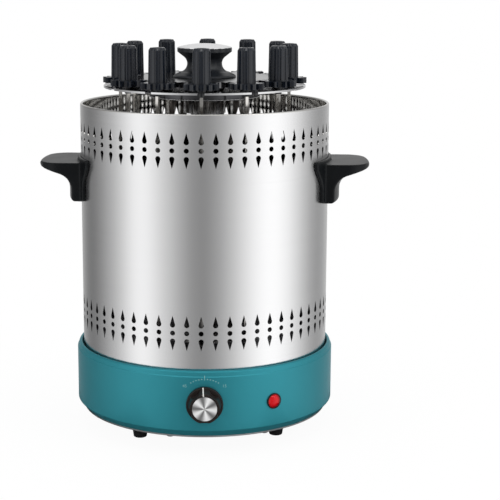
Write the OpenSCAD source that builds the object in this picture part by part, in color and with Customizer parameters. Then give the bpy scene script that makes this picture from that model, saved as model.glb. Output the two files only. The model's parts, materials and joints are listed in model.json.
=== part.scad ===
// Vertical rotisserie grill.
// Twelve skewers hang from slots in a lift-out disc inside a perforated steel barrel.
// A geared motor in the painted base turns a shaft in a fixed column. The shaft turns the
// sun gear under the lift knob, and the sun gear turns the pinion on every skewer handle.
// Millimetres. The origin is on the floor, on the axis of the barrel. The front, with the
// timer knob, faces -Y.

/* [Base] */
// Height of the rubber feet
foot_h = 16; // [10:1:25]
// Diameter of a foot where it meets the bottom plate
foot_d = 17; // [16:0.2:20]
// Distance that a foot narrows towards the floor, on the radius
foot_taper = 2.2; // [1:0.1:2.4]
// Radius of the circle that the feet stand on
foot_circle_r = 91; // [80:1:98]
// Thickness of the steel bottom plate
plate_t = 1.5; // [1:0.1:2.5]
// Height of the painted base wall
base_h = 63; // [60:1:80]
// Thickness of the painted base wall
base_wall = 2; // [1.5:0.1:3]
// Distance that the base stands out round the barrel
base_step = 6; // [5:0.5:10]
// Radius of the curve at the top of the base wall
shoulder_r = 16; // [12:0.5:22]
// Width of the flat land round the top opening of the base
land_w = 1; // [0.6:0.1:2]
// Distance that the foot of the base wall slopes in
hem_w = 5.5; // [3:0.5:7]
// Height over which the foot of the base wall slopes in
hem_h = 6.3; // [4:0.1:7.5]
// Depth of the deck below the top edge of the base
deck_depth = 8; // [6:0.5:10]
// Thickness of the steel deck
deck_t = 1.2; // [0.8:0.1:2]
// Thickness of the ledge that carries the deck
ledge_t = 2; // [1.5:0.1:3]

/* [Barrel] */
// Outside diameter of the barrel
barrel_d = 236; // [230:1:260]
// Height of the barrel above the deck
barrel_h = 237.5; // [225:0.5:260]
// Thickness of the barrel sheet
barrel_wall = 1; // [0.8:0.1:1.5]
// Diameter of the bead rolled into the top edge
rim_bead_d = 2.6; // [2.4:0.1:4]
// Width of the flange turned in at the foot of the barrel
barrel_flange_w = 10; // [9:0.5:12]
// Number of vent columns round the barrel
vent_columns = 57; // [40:1:60]
// Height of the upper row of round vents above the deck
vent_high_z = 205.3; // [200:0.5:210]
// Height of the lower row of round vents above the deck
vent_low_z = 40.4; // [36:0.5:60]
// Diameter of a round vent
vent_dot_d = 4.6; // [3:0.1:5]
// Width of a teardrop vent
vent_drop_w = 4.8; // [3:0.1:5.5]
// Length of a teardrop vent
vent_drop_l = 11; // [8:0.5:12]
// Distance from the centre of a round vent to the blunt end of a teardrop
vent_drop_gap = 5.1; // [4:0.1:6]

/* [Side handles] */
// Height of the handle top above the deck
handle_top_z = 183; // [150:1:185]
// Height of a handle, from its foot to its top face
handle_h = 36.4; // [34:0.2:45]
// Distance from the barrel to the tip of a handle
handle_reach = 39; // [34:1:48]
// Width of a handle from front to back
handle_w = 78; // [60:1:90]
// Radius of the rounded corners of the grip, seen from above
handle_corner_r = 18; // [12:1:24]
// Radius of the outer end of the grip, seen from above
handle_end_r = 70; // [55:1:90]
// Thickness of the upright leg of a handle
handle_leg_t = 10.9; // [8:0.1:12]
// Thickness of the tip of the grip
handle_tip_t = 5.5; // [4:0.1:7]
// Slope of the underside of the grip
handle_slope = 18.6; // [14:0.1:22]
// Radius of the curve between the leg and the underside of the grip
handle_fillet_r = 16; // [12:0.5:18]
// Width of the mounting pad at its top
pad_top_w = 114; // [104:1:126]
// Width of the mounting pad at its foot
pad_low_w = 88; // [82:1:100]
// Thickness of the mounting pad
pad_t = 3; // [2:0.1:4]
// Height that the mounting pad stands above the grip
pad_rise = 4.5; // [3:0.5:6.5]

/* [Carousel and gears] */
// Radius of the circle that the skewers stand on
skewer_circle_r = 80; // [78:0.5:84]
// Distance from the skewer circle to the edge of the disc
disc_margin = 15.6; // [12:0.1:17]
// Height of the disc above the rim of the barrel
disc_rise = 14.5; // [12:0.5:30]
// Thickness of the disc
disc_t = 1.8; // [1.5:0.1:2.5]
// Width of a skewer slot in the disc
slot_w = 6.6; // [6.2:0.1:8]
// Height of the collars between the disc and the gears
collar_h = 1.7; // [1:0.1:3]
// Thickness of the gears
gear_t = 5.5; // [4:0.1:8]
// Number of teeth on a skewer pinion
pinion_teeth = 10; // [10:2:12]
// Number of teeth on the sun gear, a multiple of the number of skewers
sun_teeth = 48; // [48:12:60]
// Pressure angle of the teeth
pressure_angle = 25; // [24:1:26]
// Play between meshing teeth, measured on the pitch circle
backlash = 0.3; // [0.2:0.05:0.5]

/* [Skewers] */
// Height of a grip above its pinion
grip_h = 31.5; // [24:0.5:40]
// Diameter of a grip at its foot
grip_foot_d = 17.2; // [15:0.2:19]
// Diameter of a grip below its chamfered top
grip_top_d = 16.2; // [14:0.2:17]
// Diameter of the grooves down a grip
groove_d = 2.8; // [2:0.1:3.2]
// Side of the square skewer bar
rod_w = 3; // [2.5:0.1:3.5]
// Length of the point at the foot of a skewer
rod_point_l = 12; // [8:1:20]
// Length of the stub below the disc that locates a skewer in its slot
stub_h = 5; // [4:0.5:8]

/* [Lift knob] */
// Diameter of the knob's flange
knob_flange_d = 59.4; // [52:0.2:62]
// Diameter of the top of the knob
knob_top_d = 51.6; // [44:0.2:54]
// Thickness of the rim round the top of the knob
knob_rim_t = 1.4; // [1:0.1:2]
// Height of the knob up to its cap
knob_h = 27.5; // [27:0.5:34]
// Radius of the finger groove round the knob
knob_groove_r = 8.1; // [7:0.1:9]
// Diameter of the waist of the knob
knob_waist_d = 33; // [30:0.5:36]
// Height of the waist above the foot of the knob
knob_waist_z = 12.7; // [12.5:0.1:14]
// Rise of the domed cap
knob_cap_rise = 4; // [2:0.1:5]

/* [Column and drive] */
// Outside diameter of the fixed column
column_d = 22; // [21:0.5:24]
// Wall thickness of the column
column_wall = 2; // [1.5:0.1:2.5]
// Width across the flats that key the carousel to the column
column_flats = 20; // [19.6:0.1:20.6]
// Diameter of the drive shaft
shaft_d = 8; // [7.6:0.1:8.4]
// Width across the flats of the hexagonal shaft end
shaft_hex = 6.6; // [6:0.1:6.7]
// Outside diameter of the carousel hub under the disc
hub_d = 40; // [34:1:44]
// Diameter of the hub boss that the sun gear turns on
hub_boss_d = 24; // [22:0.5:28]
// Diameter of the spindle that joins the knob to the carousel
spindle_d = 12; // [11.6:0.1:13]
// Width across the flats of the spindle in the knob
spindle_hex = 10; // [8:0.1:10]
// Diameter of the motor can
motor_d = 48; // [40:1:52]
// Height of the motor can
motor_h = 30; // [24:1:32]
// Depth of the motor below the deck
motor_drop = 17; // [14:0.5:18]

/* [Drip tray] */
// Distance between the drip tray and the heads of the screws round it
tray_clear = 3.5; // [1.5:0.5:8]
// Diameter of the open middle of the drip tray
tray_hole_d = 96; // [92:1:110]
// Height of the tray walls
tray_h = 14; // [11:0.5:18]
// Thickness of the tray sheet
tray_wall = 1; // [0.8:0.1:1.5]
// Outside diameter of the cups that hold the skewer points
cup_d = 10; // [9:0.2:14]
// Height of the cups
cup_h = 8; // [5:0.5:10]

/* [Heaters] */
// Diameter of the heater tube
heater_d = 6.4; // [5:0.1:8]
// Distance of each heater from the middle plane
heater_x = 27; // [26:0.5:29]
// Distance between the two legs of a heater
heater_gap = 30; // [26:1:32]
// Height of the heater tops above the deck
heater_h = 225; // [180:1:230]

/* [Timer, lamp and inlet] */
// Height of the timer axis above the bottom plate
timer_z = 31.5; // [28:0.5:36]
// Diameter of the timer knob's skirt
timer_skirt_d = 34; // [32:0.2:36]
// Diameter of the knob's body where it meets the skirt
timer_body_d = 31; // [29.2:0.2:31]
// Diameter of the knob's body at the cap
timer_face_d = 27.4; // [26:0.2:29]
// Length of the timer knob
timer_knob_l = 13.8; // [12:0.2:20]
// Diameter of the timer knob's metal cap
timer_cap_d = 22.8; // [20:0.2:23.4]
// Number of finger hollows round the timer knob
timer_hollows = 5; // [3:1:9]
// Radius of a finger hollow
timer_hollow_r = 7; // [5:0.2:9]
// Diameter of the timer shaft
timer_shaft_d = 6; // [5:0.1:7]
// Angle from the timer round to the lamp
lamp_angle = 30.7; // [24:0.1:45]
// Height of the lamp above the bottom plate
lamp_z = 29.5; // [22:0.5:40]
// Diameter of the lamp's bezel
lamp_bezel_d = 14.8; // [13:0.2:18]
// Rise of the lamp's domed lens
lamp_dome = 3.4; // [2:0.1:5]
// Height of the mains inlet gland above the bottom plate
gland_z = 22; // [16:0.5:34]
// Length of the gland outside the base
gland_l = 15; // [10:0.5:18]
// Diameter of the hole through the gland
gland_bore_d = 7.2; // [5:0.2:8]

/* [Clearances] */
// Radial clearance of a running fit
fit = 0.05; // [0.02:0.01:0.08]
// Clearance between loose parts
gap = 0.3; // [0.25:0.05:0.4]

/* [Hidden] */
$fn = 96;
skewer_count = 12;
foot_count = 4;
plate_screw_count = 8;
deck_screw_count = 6;
column_screw_count = 3;
peg_count = 3;
// Turns of each group about the axis, as they stand in the picture of the object
skewer_turn = -2;
handle_turn = -3;
vent_turn = -1.5;
foot_turn = 3;
plate_screw_turn = -16;
deck_screw_turn = 33;

eps = 0.01;

base_r = barrel_d / 2 + base_step;
barrel_r = barrel_d / 2;
base_z0 = foot_h + plate_t;
base_z1 = base_z0 + base_h;
deck_z1 = base_z1 - deck_depth;
deck_z0 = deck_z1 - deck_t;
ledge_z0 = deck_z0 - ledge_t;
barrel_z1 = deck_z1 + barrel_h;
disc_r = skewer_circle_r + disc_margin;
disc_z0 = barrel_z1 + disc_rise;
disc_z1 = disc_z0 + disc_t;
gear_z0 = disc_z1 + collar_h;
gear_z1 = gear_z0 + gear_t;
grip_z1 = gear_z1 + grip_h;

// Base
opening_r = barrel_r + gap;
land_r = opening_r + land_w;
shoulder_drop = min(base_r - land_r, shoulder_r);
shoulder_z = base_z1 - sqrt(2 * shoulder_r * shoulder_drop - shoulder_drop * shoulder_drop);
plate_edge_r = base_r - hem_w;
ledge_r = barrel_r - barrel_flange_w - barrel_wall;
boss_r = 4.5;
boss_h = 14;
plate_screw_inset = 5;
plate_screw_r = plate_edge_r - plate_screw_inset;
deck_screw_r = barrel_r - barrel_wall - barrel_flange_w / 2;
collar_r = 4;
plate_collar_h = 4;
vent_slot_w = 3;
vent_slot_l = 24;
vent_slot_count = 18;
vent_slot_r = foot_circle_r - foot_d - vent_slot_l / 2;

// Screws: one size of pan head everywhere but the feet and the handles
screw_r = 2;
screw_head_r = 3.5;
screw_head_h = 2.2;
screw_l = 8;
foot_recess_r = 3.8;
foot_recess_h = 8;
tray_r = deck_screw_r - screw_head_r - tray_clear;

// Vents
vent_cut = 2;

// Side handles
handle_z1 = deck_z1 + handle_top_z;
handle_z0 = handle_z1 - handle_h;
handle_tip_x = barrel_r + handle_reach;
handle_foot_r = 2.5;
handle_sweep = 80;
pad_curve_h = 24;
pad_corner_r = 3;
pad_lift = 0.6;
pad_curve_steps = 8;
handle_screw_angle = 12;
handle_screw_z = handle_z0 + handle_h / 2;
handle_screw_l = 6;
handle_screw_head_r = 4;
handle_screw_head_h = 2;

// Gears
gear_module = 2 * skewer_circle_r / (sun_teeth + pinion_teeth);
sun_pitch_r = gear_module * sun_teeth / 2;
pinion_pitch_r = gear_module * pinion_teeth / 2;
pinion_addendum = 0.95 * gear_module;
sun_addendum = 0.75 * gear_module;
tip_clearance = 0.2 * gear_module;
flank_steps = 5;

// Skewers
chamfer_h = 2.4;
chamfer_w = 1.6;
dimple_d = 9;
dimple_h = 0.8;
grip_collar_r = slot_w / 2 + 2;
stub_r = slot_w / 2 - gap;
rod_cover = 15;
rod_z1 = grip_z1 - rod_cover;
rod_z0 = deck_z1 + tray_wall + gap;

// Column, hub and spindle
hub_top_h = 12.5;
column_z1 = disc_z0 - hub_top_h;
column_flats_h = 12;
column_flange_r = 20;
column_flange_t = 2;
column_screw_r = 15.5;
column_bore_r = column_d / 2 - column_wall;
bush_h = 12;
hub_skirt_h = 12;
spindle_flange_h = 2.5;
hub_shoulder_z = column_z1 + spindle_flange_h + 3 * gap;
hub_boss_z1 = gear_z1 - gap;
spindle_hex_l = 16;
spindle_hex_z1 = gear_z1 + spindle_hex_l;
spindle_flange_r = column_bore_r - gap;
hex_reach = 17;
hex_socket_h = 18;
peg_r = 2.5;
peg_h = gear_t - 1;
peg_circle_r = (hub_boss_d + knob_flange_d) / 4;
sun_collar_r = hub_boss_d / 2 + 7;

// Motor
motor_z1 = deck_z0 - motor_drop;
motor_z0 = motor_z1 - motor_h;
bracket_t = 1.5;
bracket_w = 36;
bracket_leg_x = motor_d / 2 + 11;
bracket_foot_l = 12;
bracket_screw_x = bracket_leg_x + bracket_foot_l / 2;
motor_screw_x = motor_d / 2 - 7;
motor_edge = 2;
motor_boss_r = 6;
motor_boss_h = 4;
shaft_seat_h = 12;
shaft_z0 = motor_z1 - shaft_seat_h;
lower_bush_flange_r = 11.5;
lower_bush_h = 8;

// Heaters
heater_z1 = deck_z1 + heater_h;
heater_bend_r = heater_gap / 2;
heater_tail = 14;
insulator_r = heater_d / 2 + 2.6;
insulator_flange_r = insulator_r + 2;
insulator_flange_h = 3;

// Timer
timer_axis_z = base_z0 + timer_z;
timer_box_w = 38;
timer_box_d = 30;
timer_box_h = 38;
timer_box_y = -sqrt(pow(base_r - base_wall, 2) - pow(timer_box_w / 2, 2)) + 1;
timer_bush_r = timer_shaft_d / 2 + 2;
timer_nut_h = 2.4;
timer_nut_flats = 13;
timer_bush_y = -base_r - timer_nut_h - 1;
timer_skirt_t = 3;
timer_skirt_y = -base_r - 1.2;
timer_face_y = timer_skirt_y - timer_knob_l;
timer_cap_t = 1.5;
timer_cap_land = 0.8;
timer_shaft_end_y = timer_face_y + timer_cap_t + 1;
timer_flat = timer_shaft_d / 2 - 1;
timer_recess_r = timer_nut_flats / 2 / cos(30) + 1.5;
timer_recess_h = timer_nut_h + 1.2;

// Lamp and inlet
lamp_axis_z = base_z0 + lamp_z;
lamp_lens_r = lamp_bezel_d / 2 - 1;
lamp_bezel_t = 1.2;
lamp_body_r = lamp_bezel_d / 2 - 2;
lamp_body_l = 16;
gland_axis_z = base_z0 + gland_z;
gland_r = gland_bore_d / 2 + 3;
gland_flange_r = gland_r + 2.4;
gland_flange_t = 4;
gland_inside = 9;
terminal_size = [34, 14, 12];
terminal_inset = 16.5;
terminal_y = plate_edge_r - terminal_inset - terminal_size[1];
cutout_size = [20, 16, 7];
cutout_at = [58, 42];

// Names such as skewer_handle_07
function numbered(name, n) = str(name, n < 10 ? "0" : "", n);

// Copies of the children, evenly round the axis, starting at the front
module ring_of(count, radius, turn = 0) {
    for (i = [0:count - 1])
        rotate([0, 0, turn + i * 360 / count])
            translate([0, -radius, 0])
                children();
}

// A pan-head screw with its seat at z = 0 and its shank pointing down
module screw(length, head_r = screw_head_r, head_h = screw_head_h) {
    rotate_extrude()
        intersection() {
            union() {
                translate([0, -length]) square([screw_r, length + eps]);
                square([head_r, head_h / 2]);
                translate([0, head_h / 2]) dome_section(head_r, head_h / 2);
            }
            translate([0, -length]) square([head_r, length + head_h]);
        }
}

// Half section of a dome: a disc segment of the given foot radius and rise
module dome_section(radius, rise) {
    sphere_r = (radius * radius + rise * rise) / (2 * rise);
    intersection() {
        square([radius, rise]);
        translate([0, rise - sphere_r]) circle(sphere_r, $fn = 720);
    }
}

// A solid dome of the given foot radius and rise, standing on z = 0
module dome(radius, rise) {
    rotate_extrude() dome_section(radius, rise);
}

// A hexagonal bar, measured across its flats
module hex_bar(flats, height) {
    cylinder(r = flats / 2 / cos(30), h = height, $fn = 6);
}

// Points its children out of the wall, at an angle from the front and a height
module facing_out(angle, z) {
    rotate([0, 0, angle])
        translate([0, 0, z])
            rotate([90, 0, 0])
                children();
}

// Base

// Half section of the base, drawn in from the outside by inset
module base_section(inset) {
    foot_x = plate_edge_r - inset * sqrt(hem_w * hem_w + hem_h * hem_h) / hem_h;
    intersection() {
        translate([0, base_z0]) square([base_r - inset, base_h]);
        union() {
            translate([0, base_z0]) square([base_r, shoulder_z - base_z0]);
            translate([0, shoulder_z]) square([base_r - shoulder_r, base_z1 - shoulder_z]);
            translate([base_r - shoulder_r, shoulder_z]) circle(shoulder_r - inset);
        }
        polygon([
            [0, base_z0],
            [foot_x, base_z0],
            [foot_x + base_h * hem_w / hem_h, base_z1],
            [0, base_z1]
        ]);
    }
}

module base_shell() {
    rotate_extrude()
        difference() {
            base_section(0);
            intersection() {
                base_section(base_wall);
                square([base_r, ledge_z0]);
            }
            translate([0, ledge_z0 - eps]) square([ledge_r, base_h]);
            translate([0, deck_z0]) square([opening_r, base_h]);
        }
}

module base_housing() {
    color([0.2, 0.51, 0.54])
    difference() {
        union() {
            base_shell();
            intersection() {
                rotate_extrude() base_section(base_wall / 2);
                ring_of(plate_screw_count, plate_screw_r, plate_screw_turn)
                    translate([0, 0, base_z0]) {
                        cylinder(r = boss_r, h = boss_h);
                        translate([-1, -base_wall - 2 * boss_r, 0])
                            cube([2, base_wall + 2 * boss_r, boss_h]);
                    }
            }
            ring_of(deck_screw_count, deck_screw_r, deck_screw_turn)
                translate([0, 0, ledge_z0 - screw_l]) cylinder(r = boss_r, h = screw_l + eps);
        }
        ring_of(plate_screw_count, plate_screw_r, plate_screw_turn)
            translate([0, 0, base_z0 - 1]) cylinder(r = screw_r + fit, h = screw_l);
        ring_of(deck_screw_count, deck_screw_r, deck_screw_turn)
            translate([0, 0, deck_z0 - screw_l]) cylinder(r = screw_r + fit, h = screw_l + 1);
        facing_out(0, timer_axis_z)
            translate([0, 0, base_r / 2]) cylinder(r = timer_bush_r + gap, h = base_r);
        facing_out(lamp_angle, lamp_axis_z)
            translate([0, 0, base_r / 2]) cylinder(r = lamp_body_r + gap / 2, h = base_r);
        facing_out(180, gland_axis_z)
            translate([0, 0, base_r / 2]) cylinder(r = gland_r + gap / 2, h = base_r);
    }
}

module base_plate() {
    color([0.72, 0.73, 0.74])
    difference() {
        union() {
            translate([0, 0, foot_h]) cylinder(r = plate_edge_r - 0.3, h = plate_t);
            ring_of(foot_count, foot_circle_r, 45 + foot_turn)
                translate([0, 0, foot_h]) cylinder(r = collar_r, h = plate_t + plate_collar_h);
        }
        ring_of(foot_count, foot_circle_r, 45 + foot_turn)
            translate([0, 0, foot_h - 1]) cylinder(r = screw_r + fit, h = foot_h);
        ring_of(plate_screw_count, plate_screw_r, plate_screw_turn)
            translate([0, 0, foot_h - 1]) cylinder(r = screw_r + fit, h = plate_t + 2);
        ring_of(vent_slot_count, vent_slot_r, foot_turn)
            translate([-vent_slot_w / 2, -vent_slot_l / 2, foot_h - 1])
                cube([vent_slot_w, vent_slot_l, plate_t + 2]);
    }
}

module feet() {
    round_r = 1.2;
    sole_r = foot_d / 2 - foot_taper;
    color([0.09, 0.09, 0.1])
    ring_of(foot_count, foot_circle_r, 45 + foot_turn)
        difference() {
            union() {
                translate([0, 0, round_r])
                    cylinder(r1 = sole_r, r2 = foot_d / 2, h = foot_h - round_r);
                rotate_extrude() {
                    square([sole_r - round_r, round_r]);
                    intersection() {
                        translate([sole_r - round_r, round_r]) circle(round_r);
                        square([foot_d / 2, round_r]);
                    }
                }
            }
            translate([0, 0, -1]) cylinder(r = foot_recess_r, h = foot_recess_h + 1);
            cylinder(r = screw_r + fit, h = foot_h + 1);
        }
}

module foot_screws() {
    color([0.7, 0.7, 0.72])
    ring_of(foot_count, foot_circle_r, 45 + foot_turn)
        translate([0, 0, foot_recess_h])
            mirror([0, 0, 1])
                screw(foot_h - foot_recess_h + plate_t + plate_collar_h);
}

module pan_screws() {
    color([0.7, 0.7, 0.72]) {
        ring_of(plate_screw_count, plate_screw_r, plate_screw_turn)
            translate([0, 0, foot_h]) mirror([0, 0, 1]) screw(screw_l);
        ring_of(deck_screw_count, deck_screw_r, deck_screw_turn)
            translate([0, 0, deck_z1 + barrel_wall]) screw(screw_l);
        ring_of(column_screw_count, column_screw_r, 0)
            translate([0, 0, deck_z1 + column_flange_t]) screw(screw_l);
        for (side = [-1, 1]) {
            translate([side * bracket_screw_x, 0, deck_z1]) screw(screw_l);
            translate([side * motor_screw_x, 0, motor_z1 + bracket_t]) screw(screw_l);
        }
    }
}

// Places its children at the four heater legs
module heater_legs() {
    for (x = [-heater_x, heater_x])
        for (y = [-heater_bend_r, heater_bend_r])
            translate([x, y, 0]) children();
}

module deck_plate() {
    color([0.66, 0.67, 0.68])
    difference() {
        translate([0, 0, deck_z0]) cylinder(r = barrel_r - gap, h = deck_t);
        translate([0, 0, deck_z0 - 1]) {
            cylinder(r = column_bore_r + fit, h = deck_t + 2);
            heater_legs() cylinder(r = insulator_r + fit, h = deck_t + 2);
            ring_of(deck_screw_count, deck_screw_r, deck_screw_turn)
                cylinder(r = screw_r + fit, h = deck_t + 2);
            ring_of(column_screw_count, column_screw_r, 0)
                cylinder(r = screw_r + fit, h = deck_t + 2);
            for (side = [-1, 1])
                translate([side * bracket_screw_x, 0, 0]) cylinder(r = screw_r + fit, h = deck_t + 2);
        }
    }
}

// Drip tray: a ring-shaped dish with a cup under every skewer
module drip_tray() {
    bead_r = 1.1;
    outer_r = tray_r;
    inner_r = tray_hole_d / 2;
    color([0.55, 0.56, 0.57])
    difference() {
        union() {
            rotate_extrude() {
                translate([inner_r, deck_z1]) square([outer_r - inner_r, tray_wall]);
                translate([outer_r - tray_wall, deck_z1]) square([tray_wall, tray_h - bead_r]);
                translate([inner_r, deck_z1]) square([tray_wall, tray_h - bead_r]);
                translate([outer_r - bead_r, deck_z1 + tray_h - bead_r]) circle(bead_r, $fn = 24);
                translate([inner_r + bead_r, deck_z1 + tray_h - bead_r]) circle(bead_r, $fn = 24);
            }
            ring_of(skewer_count, skewer_circle_r, skewer_turn)
                translate([0, 0, deck_z1]) cylinder(r = cup_d / 2, h = cup_h);
        }
        ring_of(skewer_count, skewer_circle_r, skewer_turn)
            translate([0, 0, deck_z1 + tray_wall]) cylinder(r = rod_w / sqrt(2) + 2 * gap, h = cup_h);
    }
}

// Barrel

// A teardrop with its blunt end at the origin and its tip up
module teardrop() {
    drop_r = vent_drop_w / 2;
    reach = vent_drop_l - drop_r;
    touch = acos(drop_r / reach);
    translate([0, drop_r]) {
        circle(drop_r, $fn = 24);
        polygon([
            [0, reach],
            [-drop_r * sin(touch), drop_r * cos(touch)],
            [0, 0],
            [drop_r * sin(touch), drop_r * cos(touch)]
        ]);
    }
}

// One vent column: a round hole between two teardrops that point away from it
module vent_column() {
    circle(vent_dot_d / 2, $fn = 24);
    translate([0, vent_drop_gap]) teardrop();
    mirror([0, 1]) translate([0, vent_drop_gap]) teardrop();
}

module vents() {
    for (i = [0:vent_columns - 1])
        facing_out(vent_turn + i * 360 / vent_columns, deck_z1)
            translate([0, 0, barrel_r - barrel_wall - vent_cut])
                linear_extrude(barrel_wall + 2 * vent_cut) {
                    translate([0, vent_high_z]) vent_column();
                    translate([0, vent_low_z]) vent_column();
                }
}

// Places its children at the handle screws of both handles, pointing out
module handle_screw_places() {
    for (side = [90, -90])
        for (angle = [-handle_screw_angle, handle_screw_angle])
            facing_out(side + handle_turn + angle, handle_screw_z)
                children();
}

module barrel() {
    bead_r = rim_bead_d / 2;
    color([0.78, 0.78, 0.79])
    difference() {
        rotate_extrude() {
            translate([barrel_r - barrel_wall, deck_z1]) square([barrel_wall, barrel_h - bead_r]);
            translate([barrel_r - barrel_flange_w, deck_z1]) square([barrel_flange_w, barrel_wall]);
            translate([barrel_r - bead_r, barrel_z1 - bead_r]) circle(bead_r, $fn = 32);
        }
        vents();
        handle_screw_places()
            translate([0, 0, barrel_r - 5]) cylinder(r = screw_r + fit, h = 10);
        ring_of(deck_screw_count, deck_screw_r, deck_screw_turn)
            translate([0, 0, deck_z1 - 1]) cylinder(r = screw_r + fit, h = barrel_wall + 2);
    }
}

// Side handles

// Section of the grip and its leg, with x outwards from the axis of the barrel
module handle_profile() {
    leg_x = barrel_r + handle_leg_t;
    tip_r = handle_tip_t / 2;
    tip_x = handle_tip_x - tip_r;
    tip_z = handle_z1 - tip_r;
    // The underside leaves the tip at the slope and meets the leg in a hollow curve
    under_x = tip_x + tip_r * sin(handle_slope);
    under_z = tip_z - tip_r * cos(handle_slope);
    hollow_x = leg_x + handle_fillet_r;
    line_z = under_z - (under_x - hollow_x) * tan(handle_slope);
    hollow_z = line_z - handle_fillet_r / cos(handle_slope);
    inside = barrel_r - 12;
    difference() {
        union() {
            polygon([
                [inside, handle_z0],
                [leg_x - handle_foot_r, handle_z0],
                [leg_x, handle_z0 + handle_foot_r],
                [leg_x, hollow_z],
                [hollow_x - handle_fillet_r * sin(handle_slope),
                 hollow_z + handle_fillet_r * cos(handle_slope)],
                [under_x, under_z],
                [tip_x, tip_z],
                [tip_x, handle_z1],
                [inside, handle_z1]
            ]);
            translate([tip_x, tip_z]) circle(tip_r);
            translate([leg_x - handle_foot_r, handle_z0 + handle_foot_r]) circle(handle_foot_r);
        }
        translate([hollow_x, hollow_z]) circle(handle_fillet_r);
    }
}

// The grip from above: a wide slab with rounded corners and a bowed end
module handle_plan() {
    // The bow passes just outside the tip, so the two curves cross instead of only touching
    end_x = handle_tip_x + 1 - handle_end_r;
    corner_y = handle_w / 2 - handle_corner_r;
    corner_reach = handle_end_r - handle_corner_r;
    corner_x = end_x + sqrt(corner_reach * corner_reach - corner_y * corner_y);
    corner_angle = asin(corner_y / corner_reach);
    wedge_x = end_x + 2 * handle_end_r;
    wedge_y = 2 * handle_end_r * tan(corner_angle);
    translate([0, -handle_w / 2]) square([corner_x, handle_w]);
    for (side = [-1, 1])
        translate([corner_x, side * corner_y]) circle(handle_corner_r);
    intersection() {
        translate([end_x, 0]) circle(handle_end_r, $fn = 180);
        polygon([[end_x, 0], [wedge_x, -wedge_y], [wedge_x, wedge_y]]);
    }
}

// Half the width of the mounting pad at a height above its foot
function pad_half_w(h, curve_h) =
    let (t = min(max((h - curve_h) / pad_curve_h, 0), 1))
    (pad_low_w + (pad_top_w - pad_low_w) * (3 * t * t - 2 * t * t * t)) / 2;

// Outline of the mounting pad, seen along the handle
module pad_outline() {
    height = handle_h + pad_rise - pad_lift;
    curve_h = height - pad_corner_r - pad_curve_h;
    heights = [for (i = [0:pad_curve_steps]) curve_h + pad_curve_h * i / pad_curve_steps];
    half = concat(
        [for (a = [0:22.5:90])
            [pad_low_w / 2 - pad_corner_r * (1 - sin(a)), pad_corner_r * (1 - cos(a))]],
        [for (h = heights) [pad_half_w(h, curve_h), h]],
        [for (a = [22.5:22.5:90])
            [pad_top_w / 2 - pad_corner_r * (1 - cos(a)), height - pad_corner_r * (1 - sin(a))]]
    );
    other = [for (i = [len(half) - 1:-1:0]) [-half[i][0], half[i][1]]];
    translate([0, handle_z0 + pad_lift]) polygon(concat(half, other));
}

// A handle that points along +X, before it is turned to its place
module handle_shape() {
    difference() {
        union() {
            intersection() {
                rotate([0, 0, -handle_sweep / 2])
                    rotate_extrude(angle = handle_sweep) handle_profile();
                linear_extrude(handle_z1 + 1) handle_plan();
            }
            intersection() {
                translate([0, 0, handle_z0]) cylinder(r = barrel_r + pad_t, h = handle_h + pad_rise);
                rotate([90, 0, 90]) linear_extrude(barrel_r + handle_reach) pad_outline();
            }
        }
        translate([0, 0, handle_z0 - 1])
            cylinder(r = barrel_r + fit, h = handle_h + pad_rise + 2);
        for (angle = [-handle_screw_angle, handle_screw_angle])
            facing_out(90 + angle, handle_screw_z)
                cylinder(r = screw_r + fit, h = barrel_r + handle_screw_l + 0.5);
    }
}

module handle_right() {
    color([0.12, 0.12, 0.13])
    rotate([0, 0, handle_turn]) handle_shape();
}

module handle_left() {
    color([0.12, 0.12, 0.13])
    rotate([0, 0, 180 + handle_turn]) handle_shape();
}

module handle_screws() {
    color([0.7, 0.7, 0.72])
    handle_screw_places()
        translate([0, 0, barrel_r - barrel_wall - gap])
            mirror([0, 0, 1])
                screw(handle_screw_l + barrel_wall + gap, handle_screw_head_r, handle_screw_head_h);
}

// Heaters

// One heater: a tube bent into a tall hairpin, standing on a plane of constant x
module heater(x) {
    tube_r = heater_d / 2;
    bend_z = heater_z1 - heater_bend_r - tube_r;
    bottom_z = deck_z0 - heater_tail;
    color([0.36, 0.34, 0.33])
    translate([x, 0, 0]) {
        for (y = [-heater_bend_r, heater_bend_r])
            translate([0, y, bottom_z]) cylinder(r = tube_r, h = bend_z - bottom_z, $fn = 32);
        translate([0, 0, bend_z])
            rotate([90, 0, 90])
                rotate_extrude(angle = 180)
                    translate([heater_bend_r, 0]) circle(tube_r, $fn = 32);
    }
}

module heater_left() {
    heater(-heater_x);
}

module heater_right() {
    heater(heater_x);
}

module heater_insulators() {
    color([0.9, 0.88, 0.82])
    heater_legs()
        difference() {
            union() {
                translate([0, 0, deck_z0 - 5]) cylinder(r = insulator_r, h = deck_t + 5);
                translate([0, 0, deck_z1]) cylinder(r = insulator_flange_r, h = insulator_flange_h);
            }
            translate([0, 0, deck_z0 - 6]) cylinder(r = heater_d / 2 + fit, h = deck_t + 12);
        }
}

// Column, bushes and drive

module column_tube() {
    color([0.74, 0.75, 0.76])
    difference() {
        union() {
            translate([0, 0, deck_z1]) cylinder(r = column_flange_r, h = column_flange_t);
            translate([0, 0, deck_z1]) cylinder(r = column_d / 2, h = column_z1 - deck_z1);
        }
        translate([0, 0, deck_z1 - 1]) cylinder(r = column_bore_r, h = column_z1);
        for (side = [-1, 1])
            translate([-column_d, side * (column_flats + column_d) / 2 - column_d / 2,
                       column_z1 - column_flats_h])
                cube([2 * column_d, column_d, column_flats_h + 1]);
        ring_of(column_screw_count, column_screw_r, 0)
            translate([0, 0, deck_z1 - 1]) cylinder(r = screw_r + fit, h = column_flange_t + 2);
    }
}

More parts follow.
